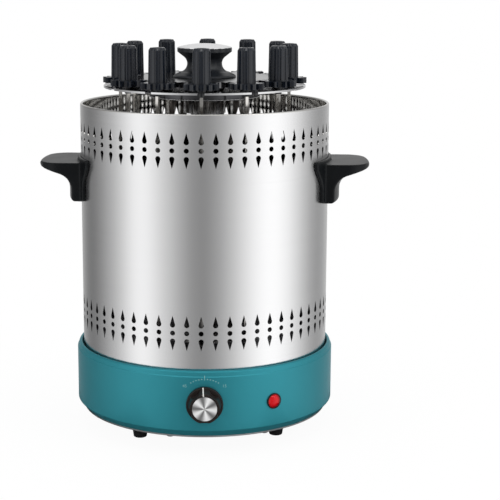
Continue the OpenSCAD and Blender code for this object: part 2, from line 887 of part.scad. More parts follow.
module bush(z, height, flange_r) {
    difference() {
        union() {
            translate([0, 0, z]) cylinder(r = column_bore_r - fit, h = height);
            translate([0, 0, z]) cylinder(r = flange_r, h = 2.5);
        }
        translate([0, 0, z - 1]) cylinder(r = shaft_d / 2 + fit, h = height + 2);
    }
}

module upper_bush() {
    color([0.8, 0.62, 0.3])
    bush(column_z1 - column_flats_h - bush_h, bush_h, column_bore_r - fit);
}

module lower_bush() {
    color([0.8, 0.62, 0.3])
    bush(deck_z0 - 2.5, lower_bush_h + 2.5, lower_bush_flange_r);
}

module motor_housing() {
    color([0.6, 0.61, 0.63])
    difference() {
        union() {
            rotate_extrude()
                polygon([
                    [0, motor_z0],
                    [motor_d / 2 - motor_edge, motor_z0],
                    [motor_d / 2, motor_z0 + motor_edge],
                    [motor_d / 2, motor_z1],
                    [0, motor_z1]
                ]);
            translate([0, 0, motor_z1]) cylinder(r = motor_boss_r, h = motor_boss_h);
        }
        translate([0, 0, shaft_z0 - 1]) cylinder(r = shaft_d / 2 + fit, h = motor_drop + shaft_seat_h);
        for (side = [-1, 1])
            translate([side * motor_screw_x, 0, motor_z1 - screw_l])
                cylinder(r = screw_r + fit, h = screw_l + 1);
    }
}

// A strap that hangs the motor from the deck
module motor_bracket() {
    color([0.7, 0.71, 0.73])
    difference() {
        for (side = [-1, 1])
            mirror([side < 0 ? 1 : 0, 0, 0])
                translate([0, -bracket_w / 2, 0]) {
                    translate([-eps, 0, motor_z1]) cube([bracket_leg_x + eps, bracket_w, bracket_t]);
                    translate([bracket_leg_x - bracket_t, 0, motor_z1])
                        cube([bracket_t, bracket_w, deck_z0 - motor_z1]);
                    translate([bracket_leg_x - bracket_t, 0, deck_z0 - bracket_t])
                        cube([bracket_foot_l + bracket_t, bracket_w, bracket_t]);
                }
        translate([0, 0, motor_z1 - 1]) cylinder(r = motor_boss_r + gap, h = bracket_t + 2);
        for (side = [-1, 1]) {
            translate([side * bracket_screw_x, 0, deck_z0 - 5]) cylinder(r = screw_r + fit, h = 10);
            translate([side * motor_screw_x, 0, motor_z1 - 1])
                cylinder(r = screw_r + fit, h = bracket_t + 2);
        }
    }
}

module drive_shaft() {
    color([0.8, 0.8, 0.82]) {
        translate([0, 0, shaft_z0]) cylinder(r = shaft_d / 2, h = column_z1 - gap - shaft_z0);
        translate([0, 0, column_z1 - gap - eps]) hex_bar(shaft_hex, hex_reach);
    }
}

// Carousel: the disc, and the hub that stands on the column

module carousel_disc() {
    color([0.86, 0.86, 0.87])
    difference() {
        translate([0, 0, disc_z0]) cylinder(r = disc_r, h = disc_t, $fn = 180);
        translate([0, 0, disc_z0 - 1]) cylinder(r = hub_boss_d / 2 + fit, h = disc_t + 2);
        ring_of(skewer_count, skewer_circle_r, skewer_turn)
            translate([0, 0, disc_z0 - 1]) {
                cylinder(r = slot_w / 2, h = disc_t + 2);
                translate([-slot_w / 2, -disc_margin - 5, 0]) cube([slot_w, disc_margin + 5, disc_t + 2]);
            }
    }
}

module carousel_hub() {
    color([0.16, 0.16, 0.17])
    difference() {
        union() {
            translate([0, 0, column_z1 - hub_skirt_h])
                cylinder(r = hub_d / 2, h = disc_z0 - column_z1 + hub_skirt_h);
            translate([0, 0, disc_z0 - eps])
                cylinder(r = hub_boss_d / 2, h = hub_boss_z1 - disc_z0);
        }
        intersection() {
            translate([0, 0, column_z1 - hub_skirt_h - 1])
                cylinder(r = column_d / 2 + gap, h = hub_skirt_h + 1);
            translate([-column_d, -column_flats / 2 - gap, column_z1 - hub_skirt_h - 1])
                cube([2 * column_d, column_flats + 2 * gap, hub_skirt_h + 1]);
        }
        translate([0, 0, column_z1 - 1]) cylinder(r = column_bore_r, h = hub_shoulder_z - column_z1 + 1);
        translate([0, 0, column_z1]) cylinder(r = spindle_d / 2 + fit, h = disc_rise + gear_z1);
    }
}

module spindle() {
    flange_z = column_z1 + gap;
    color([0.78, 0.78, 0.8])
    difference() {
        union() {
            translate([0, 0, flange_z]) cylinder(r = spindle_flange_r, h = spindle_flange_h);
            translate([0, 0, flange_z]) cylinder(r = spindle_d / 2, h = gear_z1 - flange_z);
            translate([0, 0, gear_z1 - eps]) hex_bar(spindle_hex, spindle_hex_z1 - gear_z1);
        }
        translate([0, 0, flange_z - 1]) hex_bar(shaft_hex + 2 * gap, hex_socket_h + 1);
    }
}

// Gears

// Involute function of a pressure angle, in degrees
function involute(a) = tan(a) * 180 / PI - a;

// Half the angle that a tooth fills at radius r, seen from the gear's centre
function tooth_half_angle(r, teeth, pitch_r) =
    let (base_circle_r = pitch_r * cos(pressure_angle))
    let (a = acos(min(base_circle_r / r, 1)))
    90 / teeth - backlash / 4 / pitch_r * 180 / PI + involute(pressure_angle) - involute(a);

function polar(r, a) = [r * cos(a), r * sin(a)];

// Outline of a spur gear with a tooth centred on the angle turn
module gear_outline(teeth, pitch_r, addendum, dedendum, turn) {
    tip_r = pitch_r + addendum;
    root_r = pitch_r - dedendum;
    start_r = max(root_r, pitch_r * cos(pressure_angle));
    radii = [for (k = [0:flank_steps]) start_r + (tip_r - start_r) * k / flank_steps];
    halves = [for (r = radii) tooth_half_angle(r, teeth, pitch_r)];
    polygon([
        for (i = [0:teeth - 1])
            let (middle = turn + i * 360 / teeth)
            each concat(
                [polar(root_r, middle - halves[0])],
                [for (k = [0:flank_steps]) polar(radii[k], middle - halves[k])],
                [for (k = [flank_steps:-1:0]) polar(radii[k], middle + halves[k])],
                [polar(root_r, middle + halves[0])]
            )
    ]);
}

// The sun gear has a tooth gap in line with every skewer
module sun_gear() {
    bore_r = hub_boss_d / 2 + fit;
    color([0.84, 0.84, 0.85])
    difference() {
        union() {
            translate([0, 0, gear_z0])
                linear_extrude(gear_t)
                    gear_outline(sun_teeth, sun_pitch_r, sun_addendum,
                                 pinion_addendum + tip_clearance,
                                 -90 + skewer_turn + 180 / sun_teeth);
            translate([0, 0, disc_z1 + gap]) cylinder(r = sun_collar_r, h = collar_h);
        }
        translate([0, 0, disc_z0]) cylinder(r = bore_r, h = disc_t + collar_h + gear_t + 1);
        ring_of(peg_count, peg_circle_r)
            translate([0, 0, gear_z1 - peg_h - gap]) cylinder(r = peg_r + fit, h = peg_h + 1);
    }
}

// Lift knob: a spool with a finger groove, pegged to the sun gear
module lift_knob() {
    flange_r = knob_flange_d / 2;
    top_r = knob_top_d / 2;
    groove_x = knob_waist_d / 2 + knob_groove_r;
    // The cone under the rim runs on from the groove in a straight line
    rim_z = knob_h - knob_rim_t;
    rise = rim_z - knob_waist_z;
    span = sqrt(pow(top_r - groove_x, 2) + rise * rise);
    touch = atan2(rise, top_r - groove_x) + acos(knob_groove_r / span);
    color([0.1, 0.1, 0.11])
    translate([0, 0, gear_z1]) {
        difference() {
            rotate_extrude()
                difference() {
                    polygon([
                        [0, 0],
                        [flange_r, 0],
                        [flange_r, 1],
                        [flange_r - 1.2, 2.2],
                        [groove_x, knob_waist_z - knob_groove_r],
                        [groove_x + knob_groove_r * cos(touch),
                         knob_waist_z + knob_groove_r * sin(touch)],
                        [top_r, rim_z],
                        [top_r, knob_h],
                        [0, knob_h]
                    ]);
                    translate([groove_x, knob_waist_z]) circle(knob_groove_r);
                }
            translate([0, 0, -1]) hex_bar(spindle_hex + 2 * fit, spindle_hex_z1 - gear_z1 + 1 + fit);
        }
        ring_of(peg_count, peg_circle_r)
            translate([0, 0, -peg_h]) cylinder(r = peg_r, h = peg_h + 1);
    }
}

module lift_knob_cap() {
    rim_h = 0.6;
    color([0.85, 0.85, 0.86])
    translate([0, 0, gear_z1 + knob_h]) {
        cylinder(r = knob_top_d / 2 - 0.4, h = rim_h);
        translate([0, 0, rim_h]) dome(knob_top_d / 2 - 0.4, knob_cap_rise - rim_h);
    }
}

// Skewers

// Places its children on the skewer circle; the grip's front faces out
module skewer_place(n) {
    rotate([0, 0, skewer_turn + (n - 1) * 360 / skewer_count])
        translate([0, -skewer_circle_r, 0])
            children();
}

// The ribbed grip: a slight taper with a groove between every two ribs
module grip() {
    foot_r = grip_foot_d / 2;
    top_r = grip_top_d / 2;
    body_h = grip_h - chamfer_h;
    lean = atan((foot_r - top_r) / body_h);
    difference() {
        union() {
            cylinder(r1 = foot_r, r2 = top_r, h = body_h);
            translate([0, 0, body_h]) cylinder(r1 = top_r, r2 = top_r - chamfer_w, h = chamfer_h);
        }
        for (i = [0:pinion_teeth - 1])
            rotate([0, 0, (i + 0.5) * 360 / pinion_teeth])
                translate([0, -foot_r - groove_d / 5, 0])
                    rotate([-lean, 0, 0])
                        translate([0, 0, 0.6]) cylinder(r = groove_d / 2, h = 2 * grip_h, $fn = 24);
        translate([0, 0, grip_h - dimple_h]) cylinder(r = dimple_d / 2, h = 1);
    }
}

module skewer_handle(n) {
    color([0.13, 0.13, 0.14])
    skewer_place(n)
        difference() {
            union() {
                translate([0, 0, gear_z1 - eps]) grip();
                translate([0, 0, gear_z0])
                    linear_extrude(gear_t)
                        gear_outline(pinion_teeth, pinion_pitch_r, pinion_addendum,
                                     sun_addendum + tip_clearance, 90);
                translate([0, 0, disc_z1 + gap]) cylinder(r = grip_collar_r, h = collar_h);
                translate([0, 0, disc_z0 - stub_h + disc_t]) cylinder(r = stub_r, h = stub_h + 1);
            }
            translate([-rod_w / 2 - fit, -rod_w / 2 - fit, disc_z0 - stub_h])
                cube([rod_w + 2 * fit, rod_w + 2 * fit, rod_z1 + fit - disc_z0 + stub_h]);
        }
}

// Side view of a pointed bar
module pointed_bar(length) {
    polygon([
        [0, 0],
        [rod_w / 2, rod_point_l],
        [rod_w / 2, length],
        [-rod_w / 2, length],
        [-rod_w / 2, rod_point_l]
    ]);
}

module skewer_rod(n) {
    length = rod_z1 - rod_z0;
    color([0.8, 0.8, 0.81])
    skewer_place(n)
        translate([0, 0, rod_z0])
            intersection() {
                rotate([90, 0, 0]) linear_extrude(rod_w, center = true) pointed_bar(length);
                rotate([90, 0, 90]) linear_extrude(rod_w, center = true) pointed_bar(length);
            }
}

// Timer, lamp and inlet

module timer_body() {
    color([0.85, 0.83, 0.78])
    difference() {
        union() {
            translate([-timer_box_w / 2, timer_box_y, timer_axis_z - timer_box_h / 2])
                cube([timer_box_w, timer_box_d, timer_box_h]);
            facing_out(0, timer_axis_z)
                translate([0, 0, -timer_box_y - 1])
                    cylinder(r = timer_bush_r, h = timer_box_y + 1 - timer_bush_y);
        }
        facing_out(0, timer_axis_z)
            translate([0, 0, -timer_box_y - timer_box_d / 2])
                cylinder(r = timer_shaft_d / 2 + fit, h = timer_box_d);
    }
}

module timer_nut() {
    color([0.75, 0.75, 0.77])
    facing_out(0, timer_axis_z)
        translate([0, 0, base_r + fit])
            difference() {
                hex_bar(timer_nut_flats, timer_nut_h);
                translate([0, 0, -1]) cylinder(r = timer_bush_r + fit, h = timer_nut_h + 2);
            }
}

// A round bar with a flat, as the timer shaft and the bore that takes it
module flatted_bar(radius, flat, length) {
    intersection() {
        cylinder(r = radius, h = length);
        translate([-radius, -radius, 0]) cube([2 * radius, radius + flat, length]);
    }
}

module timer_shaft() {
    color([0.8, 0.8, 0.82])
    facing_out(0, timer_axis_z) {
        translate([0, 0, -timer_box_y - timer_box_d / 2 + gap])
            cylinder(r = timer_shaft_d / 2, h = timer_box_y + timer_box_d / 2 - gap - timer_bush_y);
        translate([0, 0, -timer_bush_y - eps])
            flatted_bar(timer_shaft_d / 2, timer_flat, timer_bush_y - timer_shaft_end_y);
    }
}

module timer_knob() {
    hollow_x = timer_cap_d / 2 + timer_cap_land + timer_hollow_r;
    color([0.07, 0.07, 0.08])
    facing_out(0, timer_axis_z)
        translate([0, 0, -timer_skirt_y])
            difference() {
                union() {
                    cylinder(r1 = timer_skirt_d / 2, r2 = timer_skirt_d / 2 - 0.6, h = timer_skirt_t);
                    difference() {
                        cylinder(r1 = timer_body_d / 2, r2 = timer_face_d / 2, h = timer_knob_l);
                        for (i = [0:timer_hollows - 1])
                            rotate([0, 0, 90 + (i + 0.5) * 360 / timer_hollows])
                                translate([hollow_x, 0, timer_skirt_t / 2])
                                    cylinder(r = timer_hollow_r, h = timer_knob_l);
                    }
                }
                translate([0, 0, timer_knob_l - timer_cap_t])
                    cylinder(r = timer_cap_d / 2 + fit, h = timer_cap_t + 1);
                translate([0, 0, -1]) cylinder(r = timer_recess_r, h = timer_recess_h + 1);
                translate([0, 0, -1])
                    flatted_bar(timer_shaft_d / 2 + fit, timer_flat + fit,
                                timer_skirt_y - timer_shaft_end_y + 1 + gap);
            }
}

module timer_knob_cap() {
    color([0.85, 0.85, 0.86])
    facing_out(0, timer_axis_z)
        translate([0, 0, -timer_face_y - timer_cap_t + fit])
            cylinder(r1 = timer_cap_d / 2, r2 = timer_cap_d / 2 - 0.5, h = timer_cap_t);
}

module lamp_body() {
    color([0.1, 0.1, 0.1])
    facing_out(lamp_angle, lamp_axis_z)
        difference() {
            union() {
                translate([0, 0, base_r - lamp_body_l]) cylinder(r = lamp_body_r, h = lamp_body_l + 1);
                translate([0, 0, base_r + fit]) cylinder(r = lamp_bezel_d / 2, h = lamp_bezel_t);
            }
            translate([0, 0, base_r + 0.6]) cylinder(r = lamp_lens_r + fit, h = 2);
        }
}

module lamp_lens() {
    color([0.8, 0.08, 0.08])
    facing_out(lamp_angle, lamp_axis_z)
        translate([0, 0, base_r + 0.6 + fit]) {
            cylinder(r = lamp_lens_r, h = lamp_bezel_t - 0.6);
            translate([0, 0, lamp_bezel_t - 0.6]) dome(lamp_lens_r, lamp_dome);
        }
}

module cord_gland() {
    color([0.1, 0.1, 0.11])
    facing_out(180, gland_axis_z)
        difference() {
            union() {
                translate([0, 0, base_r - gland_inside]) cylinder(r = gland_r, h = gland_inside + gland_l);
                translate([0, 0, base_r + fit]) cylinder(r = gland_flange_r, h = gland_flange_t);
            }
            translate([0, 0, base_r - gland_inside - 1])
                cylinder(r = gland_bore_d / 2, h = gland_inside + gland_l + 2);
        }
}

module terminal_block() {
    poles = 3;
    pitch = terminal_size[0] / poles;
    color([0.9, 0.9, 0.88])
    translate([-terminal_size[0] / 2, terminal_y, base_z0])
        difference() {
            cube(terminal_size);
            for (i = [0:poles - 1])
                translate([(i + 0.5) * pitch, terminal_size[1] / 2, terminal_size[2] / 2])
                    cylinder(r = 2.2, h = terminal_size[2]);
        }
}

module thermal_cutout() {
    color([0.25, 0.22, 0.2])
    translate([cutout_at[0] - cutout_size[0] / 2, cutout_at[1] - cutout_size[1] / 2,
               deck_z0 - cutout_size[2]])
        cube(cutout_size);
}

base_housing();
base_plate();
feet();
foot_screws();
pan_screws();
deck_plate();
drip_tray();
barrel();
handle_left();
handle_right();
handle_screws();
heater_left();
heater_right();
heater_insulators();
column_tube();
upper_bush();
lower_bush();
motor_housing();
motor_bracket();
timer_body();
timer_nut();
lamp_body();
lamp_lens();
terminal_block();
thermal_cutout();
cord_gland();
drive_shaft();
timer_shaft();
timer_knob();
timer_knob_cap();
carousel_disc();
carousel_hub();
sun_gear();
lift_knob();
lift_knob_cap();
spindle();
for (n = [1:skewer_count]) {
    skewer_handle(n);
    skewer_rod(n);
}
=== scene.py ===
"""Looks of a vertical rotisserie grill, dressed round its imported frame. Metres, +Z up, front to -Y."""
import json
import math

import bmesh
import bpy
from mathutils import Matrix, Vector
from mathutils.geometry import delaunay_2d_cdt, tessellate_polygon


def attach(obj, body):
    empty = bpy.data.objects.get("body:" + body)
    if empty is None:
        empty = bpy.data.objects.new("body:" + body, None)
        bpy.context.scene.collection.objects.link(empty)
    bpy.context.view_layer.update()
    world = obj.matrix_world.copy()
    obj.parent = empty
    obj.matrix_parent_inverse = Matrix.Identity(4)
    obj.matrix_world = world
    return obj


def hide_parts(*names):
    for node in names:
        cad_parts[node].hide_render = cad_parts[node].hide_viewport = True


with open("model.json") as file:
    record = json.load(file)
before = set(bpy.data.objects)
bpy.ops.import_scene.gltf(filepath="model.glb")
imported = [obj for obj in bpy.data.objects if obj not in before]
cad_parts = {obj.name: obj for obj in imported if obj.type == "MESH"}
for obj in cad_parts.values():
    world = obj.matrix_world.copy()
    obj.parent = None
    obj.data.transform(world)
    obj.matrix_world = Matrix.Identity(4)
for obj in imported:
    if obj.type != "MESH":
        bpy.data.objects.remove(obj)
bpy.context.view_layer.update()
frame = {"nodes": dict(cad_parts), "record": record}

# Pieces are drawn in millimetres and scaled to metres
MM = 0.001
FULL = 2 * math.pi
EDGE_STEPS = 2
SHARP_TURN = math.radians(40)

# The photograph's camera, from the axis of the barrel and the floor
CAMERA_DISTANCE = 1.3612
CAMERA_HEIGHT = 0.4403
CAMERA_PITCH = 11.39
CAMERA_LENS = 103.0
CAMERA_SHIFT = 0.0908

# Barrel
BARREL_R = 118
BARREL_WALL = 1
DECK_Z = 72.5
RIM_Z = 310
BEAD_R = 1.3
FLANGE_W = 10
VENT_COLUMNS = 57
VENT_TURN = -1.5
VENT_ROWS = (DECK_Z + 40.4, DECK_Z + 205.3)
VENT_DOT_R = 2.3
DROP_R = 2.4
DROP_L = 11
DROP_GAP = 5.1
DROP_STEPS = 12
# Heights inside the barrel between which painted shade darkens its lining
LINING_PAINTED_SHADE_FULL_Z = 262
LINING_PAINTED_SHADE_START_Z = 292

# Base
BASE_R = 124
BASE_Z = 17.5
BASE_TOP_Z = 80.5
BASE_WALL = 2
CREASE_Z = 74
CREASE_W = 0.7
LIP_GAP = 1.4
HEM_W = 5.5
HEM_H = 6.3
GAP = 0.3
BASE_COLUMNS = 192

# Carousel, gears and skewers
SKEWERS = 12
SKEWER_TURN = -2
SKEWER_CIRCLE_R = 80
DISC_TOP_Z = 326.3
DISC_T = 1.8
DISH_R = 54
DISH_H = 8.8
DISH_BEAD_R = 0.6
DISH_HOLE_R = 20.4
SLOT_W = 6.6
GEAR_Z = 328
GEAR_T = 5.5
GEAR_TOP_Z = GEAR_Z + GEAR_T
PINION_TEETH = 10
SUN_TEETH = 48
PRESSURE_ANGLE = 25
BACKLASH = 0.3
TOOTH_SHARE = 0.95
FLANK_STEPS = 5
GEAR_MODULE = 2 * SKEWER_CIRCLE_R / (SUN_TEETH + PINION_TEETH)
GRIP_H = 31.5
GRIP_FOOT_R = 8.6
GRIP_TOP_R = 8.1
GRIP_GROOVE_R = 1.4
GRIP_CHAMFER_H = 2.4
GRIP_CHAMFER_W = 1.6

# Lift knob
KNOB_FLANGE_R = 29.7
KNOB_TOP_R = 25.8
KNOB_H = 27.5
KNOB_RIM_T = 3.6
KNOB_GROOVE_R = 8.1
KNOB_WAIST_R = 16.5
KNOB_WAIST_Z = 12.7
KNOB_CAP_RISE = 4

# Timer knob, dial, lamp and cord gland; a mark of the dial is its low and high radius and width
TIMER_Z = BASE_Z + 31.5
TIMER_OUT = BASE_R + 1.2
TIMER_SKIRT_R = 17
TIMER_SKIRT_T = 3
TIMER_BODY_R = 15.5
TIMER_FACE_R = 13.7
TIMER_L = 13.8
TIMER_CAP_R = 11.4
TIMER_CAP_T = 1.5
TIMER_CAP_GAP = 0.05
TIMER_CAP_LAND = 0.8
TIMER_SKIRT_LEAN = 0.6
TIMER_HOLLOWS = 5
TIMER_HOLLOW_R = 7
TIMER_COLUMNS = 200
TIMER_HOLE_R = 5.3
POINTER_TURN = 5
DIAL_TICK = (22.5, 27, 0.6)
DIAL_DOT = (23, 24, 0.9)
DIAL_DOTS = 5
DIAL_DOT_TURN = 6.4
DIAL_NUMBERS = (("45", -47), ("15", 47))
DIAL_NUMBER_R = 24.6
DIAL_NUMBER_H = 4
INK_LOW = 0.02
INK_HIGH = 0.05
# Painted highlight on the timer cap: how many bright rays it has, and the turn of the first
PAINTED_CAP_RAYS = 5
PAINTED_CAP_RAY_TURN = 66
LAMP_AZIMUTH = 30.7
LAMP_Z = BASE_Z + 29.5
LAMP_BEZEL_R = 7.4
LAMP_LENS_R = 6.4
LAMP_DOME = 3.4
LAMP_HOLE_R = 5.55
LAMP_DEPTH = 14
GLAND_Z = BASE_Z + 22
GLAND_HOLE_R = 6.75

# Surfaces: how uneven the sheen of metal and plastic is, how far the edges of metal are
# rounded in the shading, and working lines that run round the axis
METAL_WEAR = 0.02
METAL_EDGE = 0.2
PLASTIC_WEAR = 0.03
ROUND = (1, 1, 60)

# Light that has no colour of its own
WHITE = (1, 1, 1, 1)


# Shader helpers

def adjust(node, values):
    """Sets a shader node's properties and unlinked inputs by name."""
    for key, value in values.items():
        if hasattr(node, key):
            setattr(node, key, value)
        else:
            node.inputs[key.replace("_", " ")].default_value = value


def node_tree(name, **values):
    """A new material, its node tree and its Principled shader with values set by name."""
    material = bpy.data.materials.new(name)
    material.use_nodes = True
    tree = material.node_tree
    shader = tree.nodes["Principled BSDF"]
    adjust(shader, values)
    return material, tree, shader


def add(tree, kind, **values):
    """A new shader node with values set by name."""
    node = tree.nodes.new(kind)
    adjust(node, values)
    return node


def glowing(name, strength):
    """A material that only gives light, its node tree and its emission."""
    material = bpy.data.materials.new(name)
    material.use_nodes = True
    tree = material.node_tree
    tree.nodes.clear()
    glow = add(tree, "ShaderNodeEmission", Strength=strength)
    out = add(tree, "ShaderNodeOutputMaterial")
    tree.links.new(glow.outputs[0], out.inputs["Surface"])
    return material, tree, glow


def object_place(tree, scale=(1, 1, 1)):
    """Object coordinates, stretched by scale."""
    place = add(tree, "ShaderNodeTexCoord")
    mapping = add(tree, "ShaderNodeMapping", Scale=scale)
    tree.links.new(place.outputs["Object"], mapping.inputs["Vector"])
    return mapping.outputs["Vector"]


def noise(tree, vector, scale, detail=3):
    """A noise value in 0 to 1."""
    texture = add(tree, "ShaderNodeTexNoise", Scale=scale, Detail=detail, Roughness=0.5)
    tree.links.new(vector, texture.inputs["Vector"])
    return texture.outputs["Fac"]


def spread(tree, value, low, high, start=0.25, end=0.75):
    """A value that runs from start to end, spread between low and high."""
    band = add(tree, "ShaderNodeMapRange", From_Min=start, From_Max=end, To_Min=low, To_Max=high)
    tree.links.new(value, band.inputs["Value"])
    return band.outputs["Result"]


def sheen(tree, shader, value, low, high):
    """Roughness that wanders between low and high with a noise value."""
    tree.links.new(spread(tree, value, low, high), shader.inputs["Roughness"])


def bump(tree, shader, height, distance, strength=0.3):
    """Drives the shader's normal with a height."""
    node = add(tree, "ShaderNodeBump", Strength=strength, Distance=distance)
    tree.links.new(height, node.inputs["Height"])
    tree.links.new(node.outputs["Normal"], shader.inputs["Normal"])
    return node


def soften_edges(tree, node, radius):
    """Rounds the look of edges that are too fine to model."""
    edge = add(tree, "ShaderNodeBevel", samples=4, Radius=radius * MM)
    tree.links.new(edge.outputs["Normal"], node.inputs["Normal"])


def tint(tree, shader, value, dark, light):
    """Mixes the base colour between two colours."""
    ramp = add(tree, "ShaderNodeValToRGB")
    ramp.color_ramp.elements[0].position = 0.3
    ramp.color_ramp.elements[1].position = 0.7
    ramp.color_ramp.elements[0].color = (*dark, 1)
    ramp.color_ramp.elements[1].color = (*light, 1)
    tree.links.new(value, ramp.inputs["Fac"])
    tree.links.new(ramp.outputs["Color"], shader.inputs["Base Color"])


def plastic(name, dark, light, roughness, grain=0.9, edge=0.3, gloss=0.5):
    """Moulded plastic: a fine spark-eroded grain and a slight unevenness in its sheen."""
    material, tree, shader = node_tree(name, Specular_IOR_Level=gloss)
    place = object_place(tree)
    tint(tree, shader, noise(tree, place, 60), dark, light)
    sheen(tree, shader, noise(tree, place, 35), roughness - PLASTIC_WEAR, roughness + PLASTIC_WEAR)
    grained = bump(tree, shader, noise(tree, place, 2600, detail=2), 0.00003, grain)
    if edge:
        soften_edges(tree, grained, edge)
    return material


def metal(name, dark, light, roughness, streaks=(1, 1, 1), metallic=1):
    """Bare metal: streaks of working along one direction and a faintly uneven polish."""
    material, tree, shader = node_tree(name, Metallic=metallic)
    place = object_place(tree)
    tint(tree, shader, noise(tree, place, 30), dark, light)
    sheen(tree, shader, noise(tree, place, 25), roughness - METAL_WEAR, roughness + METAL_WEAR)
    lined = noise(tree, object_place(tree, streaks), 900, detail=2)
    worked = bump(tree, shader, lined, 0.00001, 0.2)
    soften_edges(tree, worked, METAL_EDGE)
    return material


def brushed_barrel(name):
    """Barrel sheet: fine brushed lines that run round it, with an even mirror behind them."""
    material, tree, shader = node_tree(name, Metallic=1)
    rings = noise(tree, object_place(tree, (8, 8, 2600)), 1, detail=2)
    tint(tree, shader, rings, (0.785, 0.785, 0.79), (0.81, 0.81, 0.815))
    sheen(tree, shader, rings, 0.2, 0.24)
    return material


def barrel_lining_painted_shade(name):
    """Inside of the barrel: a mirror near the rim, with painted shade that darkens it further down."""
    material, tree, shader = node_tree(name, Metallic=1)
    place = object_place(tree)
    split = add(tree, "ShaderNodeSeparateXYZ")
    # Painted shade: the lining's colour runs from light near the rim to dark further down
    height = add(tree, "ShaderNodeMapRange", From_Min=LINING_PAINTED_SHADE_FULL_Z * MM,
                 From_Max=LINING_PAINTED_SHADE_START_Z * MM)
    tree.links.new(place, split.inputs[0])
    tree.links.new(split.outputs["Z"], height.inputs["Value"])
    tint(tree, shader, height.outputs["Result"], (0.12, 0.12, 0.125), (0.74, 0.73, 0.71))
    sheen(tree, shader, noise(tree, place, 25), 0.02, 0.05)
    bump(tree, shader, noise(tree, object_place(tree, ROUND), 900, detail=2), 0.00001, 0.2)
    return material


def paint(name):
    """Teal enamel with metal flake in it and a little orange peel on top."""
    material, tree, shader = node_tree(name, Metallic=0.5, Specular_IOR_Level=0.22)
    place = object_place(tree)
    tint(tree, shader, noise(tree, place, 12), (0.027, 0.245, 0.296), (0.030, 0.257, 0.310))
    sheen(tree, shader, noise(tree, place, 30), 0.33, 0.37)
    bump(tree, shader, noise(tree, place, 420, detail=2), 0.00003, 0.2)
    return material


def lens_red_painted_shade(name):
    """Clear red plastic over an unlit lamp, with painted shade that darkens the dome towards its edges.
    """
    material, tree, shader = node_tree(name, Roughness=0.13, Specular_IOR_Level=0.3)
    place = object_place(tree)
    # Painted shade: the red darkens where the dome turns away from the view
    facing = add(tree, "ShaderNodeLayerWeight", Blend=0.6)
    tint(tree, shader, facing.outputs["Facing"], (0.60, 0.006, 0.010), (0.10, 0.001, 0.002))
    bump(tree, shader, noise(tree, place, 500), 0.00003, 0.15)
    return material


def spun_metal_painted_rays(name):
    """A cap turned on a lathe, its lines running round the middle, with painted highlight: bright and
    dark rays set in its base colour by angle round the axis.
    """
    material, tree, shader = node_tree(name, Metallic=0.35, Roughness=0.3, Anisotropic=0.8)
    place = add(tree, "ShaderNodeTexCoord")
    split = add(tree, "ShaderNodeSeparateXYZ")
    turn = add(tree, "ShaderNodeMath", operation="ARCTAN2")
    painted_ray_phase = add(tree, "ShaderNodeMath", operation="MULTIPLY_ADD")
    painted_ray_phase.inputs[1].default_value = PAINTED_CAP_RAYS
    painted_ray_phase.inputs[2].default_value = -PAINTED_CAP_RAYS * math.radians(PAINTED_CAP_RAY_TURN)
    painted_ray_wave = add(tree, "ShaderNodeMath", operation="COSINE")
    flat_place = add(tree, "ShaderNodeMapping", Scale=(1, 1, 0))
    reach = add(tree, "ShaderNodeVectorMath", operation="LENGTH")
    rings = add(tree, "ShaderNodeTexNoise", noise_dimensions="1D", Scale=5200, Detail=2)
    # The fine turned rings, with the painted highlight rays added to them
    grain = add(tree, "ShaderNodeMath", operation="MULTIPLY_ADD")
    grain.inputs[1].default_value = 0.5
    tangent = add(tree, "ShaderNodeTangent", direction_type="RADIAL", axis="Z")
    links = tree.links
    links.new(place.outputs["Object"], split.inputs[0])
    links.new(split.outputs["Y"], turn.inputs[0])
    links.new(split.outputs["X"], turn.inputs[1])
    links.new(turn.outputs[0], painted_ray_phase.inputs[0])
    links.new(painted_ray_phase.outputs[0], painted_ray_wave.inputs[0])
    links.new(place.outputs["Object"], flat_place.inputs["Vector"])
    links.new(flat_place.outputs["Vector"], reach.inputs[0])
    links.new(reach.outputs["Value"], rings.inputs["W"])
    links.new(rings.outputs["Fac"], grain.inputs[0])
    links.new(painted_ray_wave.outputs[0], grain.inputs[2])
    # Painted highlight: the rays of light and dark go into the cap's base colour
    ray = spread(tree, grain.outputs[0], 0.3, 0.7, -0.8, 1.3)
    tint(tree, shader, ray, (0.16, 0.16, 0.16), (1.0, 1.0, 1.0))
    links.new(tangent.outputs["Tangent"], shader.inputs["Tangent"])
    return material


def printed(name):
    """Pale ink printed on the enamel, a little worn."""
    material, tree, shader = node_tree(name, Roughness=0.5)
    place = object_place(tree)
    tint(tree, shader, noise(tree, place, 900), (0.15, 0.42, 0.43), (0.24, 0.52, 0.52))
    return material


